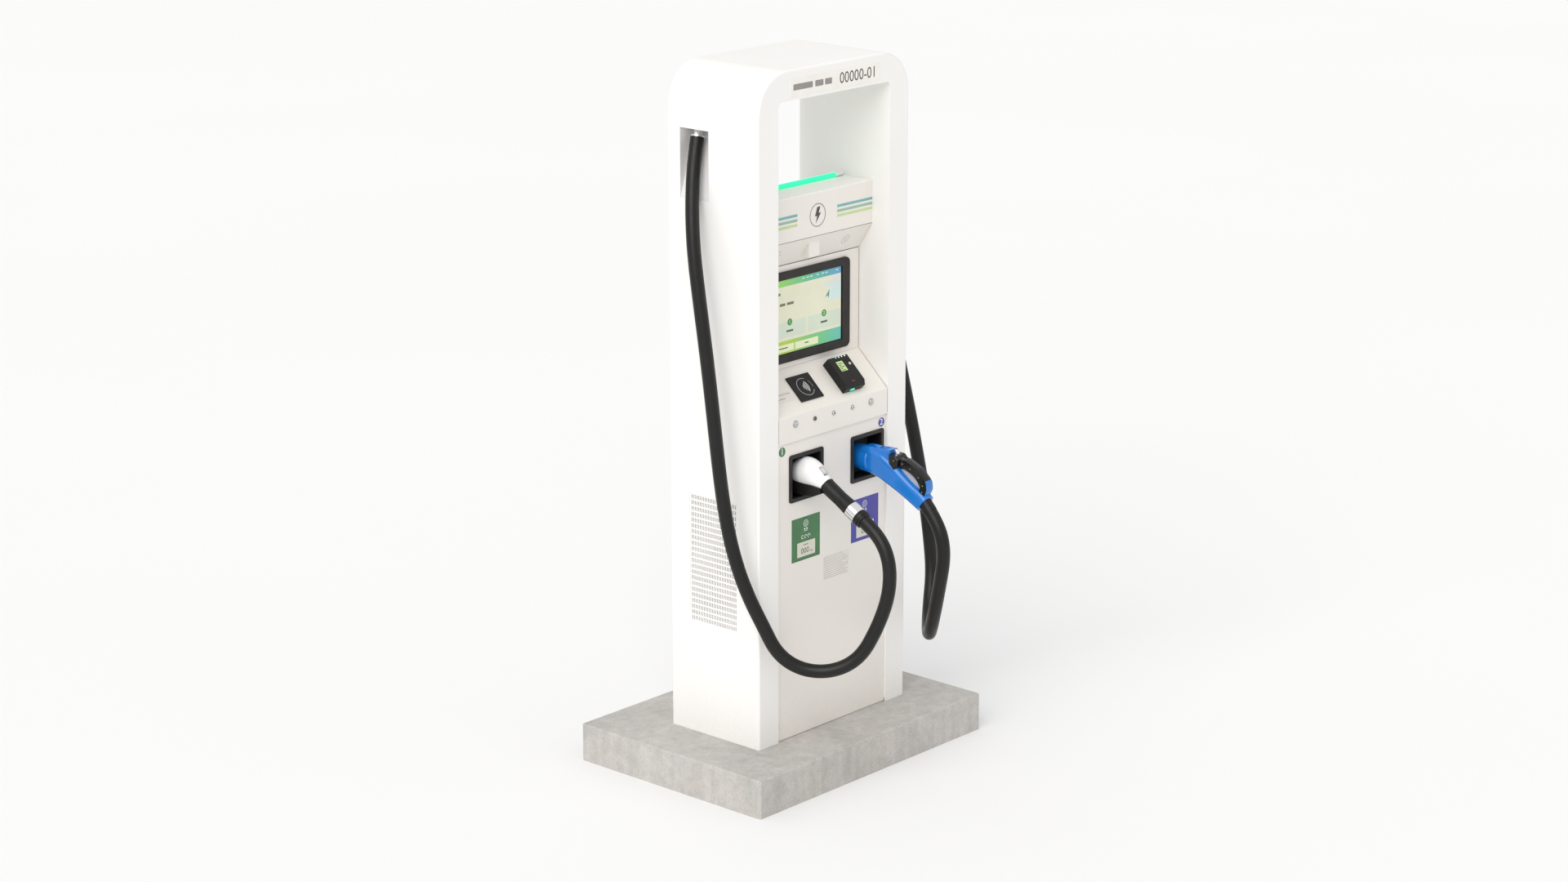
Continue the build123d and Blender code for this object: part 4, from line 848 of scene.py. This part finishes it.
STEEP = 134.1                        # the guard's last straight faces this way, in degrees
guard_top = [(-154, 928.5, -0.021, 1.0)] + arc_path(-168.9, 901.1, 27, 91.2, 113.8, 6)
guard_top += arc_path(-214.0, 881.2, 27, 113.8, STEEP, 6)
guard_bend = arc_path(-240.6, 855.5, 27, STEEP, 174.3, 8)
guard_end = arc_path(-241.6, 844.6, 27, 174.3, 206.6, 6) + [(-257.3, 815.6, -0.894, -0.447)]
band_over("guard_skin", guard_top + guard_bend[:3], 17.4, 0.3, 2.4, "connector_2", "handle")
band_over("guard_band", guard_bend[2:] + guard_end, 16.5, 0.5, 1.6, "connector_2", "blue")

for number, y in enumerate((-78, -88, -98), 1):
    rib = lathe(f"top_rib_{number}", [(0, -17), (1.4, -16.5), (2.0, -14), (2.0, 14), (1.4, 16.5), (0, 17)],
                at(X2, y, 951.2), (1, 0, 0), 16)
    add(f"top_rib_{number}", rib, "connector_2", ["blue"])
lug = lathe(
    "top_lug", [(0, -15), (7, -14.5), (9.5, -12), (10.2, -6), (10.2, 6), (9.5, 12), (7, 14.5), (0, 15)],
    at(X2, -42, 945), (0, 1, 0), 40)
add("top_lug", lug, "connector_2", ["blue"])

X1 = -133                            # middle of the left-hand connector
GRIP_TILT = math.radians(29)
GRIP_AXIS = Vector((0, -math.cos(GRIP_TILT), -math.sin(GRIP_TILT)))
GRIP_START = at(X1, -85, 888)
collar = lathe(
    "grip_collar", [(24, -1), (28.2, -1), (28.6, 0.5), (28.2, 2.5), (27.4, 3), (24, 3)],
    GRIP_START, GRIP_AXIS, 64)
add("grip_collar", collar, "connector_1", ["handle"])
sleeve = lathe(
    "boot_sleeve",
    [(0, 160.2), (28.8, 160.2), (29.2, 161.5), (29.2, 177), (28.6, 178.5), (27.2, 179), (27.2, 181),
     (28.2, 181.5), (28.2, 186), (27.2, 187), (24.2, 188), (23.6, 188), (23.6, 187.5), (0, 187.5)],
    GRIP_START, GRIP_AXIS, 64)
add("boot_sleeve", sleeve, "connector_1", ["grip"])

LATCH_TILT = math.radians(38)
latch_along = Vector((0, -math.cos(LATCH_TILT), -math.sin(LATCH_TILT)))
latch_up = Vector((0, -math.sin(LATCH_TILT), math.cos(LATCH_TILT)))
cap = lathe(
    "latch_cap",
    [(0, -16), (4.2, -15), (6.6, -12), (8.2, -6), (8.6, 0), (8.2, 6), (6.6, 11), (4.2, 13.6), (0, 14.6)],
    at(X1, -62, 940) + (latch_along * 11 + latch_up * 2.2) / 1000, latch_along, 40)
add("latch_cap", cap, "connector_1_latch", ["latch"])

# ------------------------------------------------------------------ seams between the sheets
SCREEN = Place(at(0, 131, 0), (0, 0, 1), (0, -1, 0))
BAY = 276                            # half the width of the bay between the legs


def seam(name, place, outline, high=0.25):
    """The dark line where two sheets meet: painted shade in the joint."""
    plates(name, place, [(outline, -0.1, high, "seam")], "cabinet")


seam("soffit_seam", HEADER, rect(-BAY, 1686.5, BAY, 1688.3))
seam("panel_seam", PANEL, rect(-BAY, 1034.6, BAY, 1036.4), 0.2)
for side, end in SIDES:
    u0, u1 = sorted((side * (BAY - 1.4), side * BAY))
    seam(f"screen_side_seam_{end}", SCREEN, rect(u0, 1248, u1, 1594))
    seam(f"slope_side_seam_{end}", CONSOLE, rect(u0, 1, u1, 176))
    seam(f"lip_side_seam_{end}", FRONT, rect(u0, 1042, u1, 1124))

# ------------------------------------------------------------------ camera window
lens = lathe(
    "camera_window", [(0, 0), (3.2, -0.6), (5.2, 0), (6.2, 1.2), (6.3, 5), (0, 5)],
    at(-2, 99, 1616.5), (0, 0, 1))
add("camera_window", lens, "cabinet", ["lens"])


# ------------------------------------------------------------------ floor, light and sky
def stage():
    mesh = bpy.data.meshes.new("floor")
    shaped = bmesh.new()
    bmesh.ops.create_grid(shaped, x_segments=24, y_segments=24, size=90)
    shaped.to_mesh(mesh)
    shaped.free()
    floor = bpy.data.objects.new("floor", mesh)
    scene.collection.objects.link(floor)
    f = Finish("floor_card", rough=0.85)
    f.bsdf.inputs["Specular IOR Level"].default_value = 0.15
    f.color(f.ramp(f.noise(0.25, 2), (0.3, (0.875, 0.875, 0.872)), (0.7, (0.89, 0.888, 0.885))))
    mesh.materials.append(f.material)

    world = bpy.data.worlds.new("sky")
    scene.world = world
    world.use_nodes = True
    background = world.node_tree.nodes["Background"]
    background.inputs["Color"].default_value = (0.982, 0.984, 0.99, 1)
    background.inputs["Strength"].default_value = 0.80

    sun = bpy.data.objects.new("key", bpy.data.lights.new("key", "SUN"))
    sun.data.energy = 1.60
    sun.data.angle = math.radians(50)
    sun.data.color = (1.0, 0.99, 0.97)
    sun.rotation_mode = "QUATERNION"
    sun.rotation_quaternion = Vector((-0.735, -0.252, 0.63)).to_track_quat("Z", "Y")
    scene.collection.objects.link(sun)


stage()
scene.view_settings.view_transform = "Standard"
scene.view_settings.look = "None"
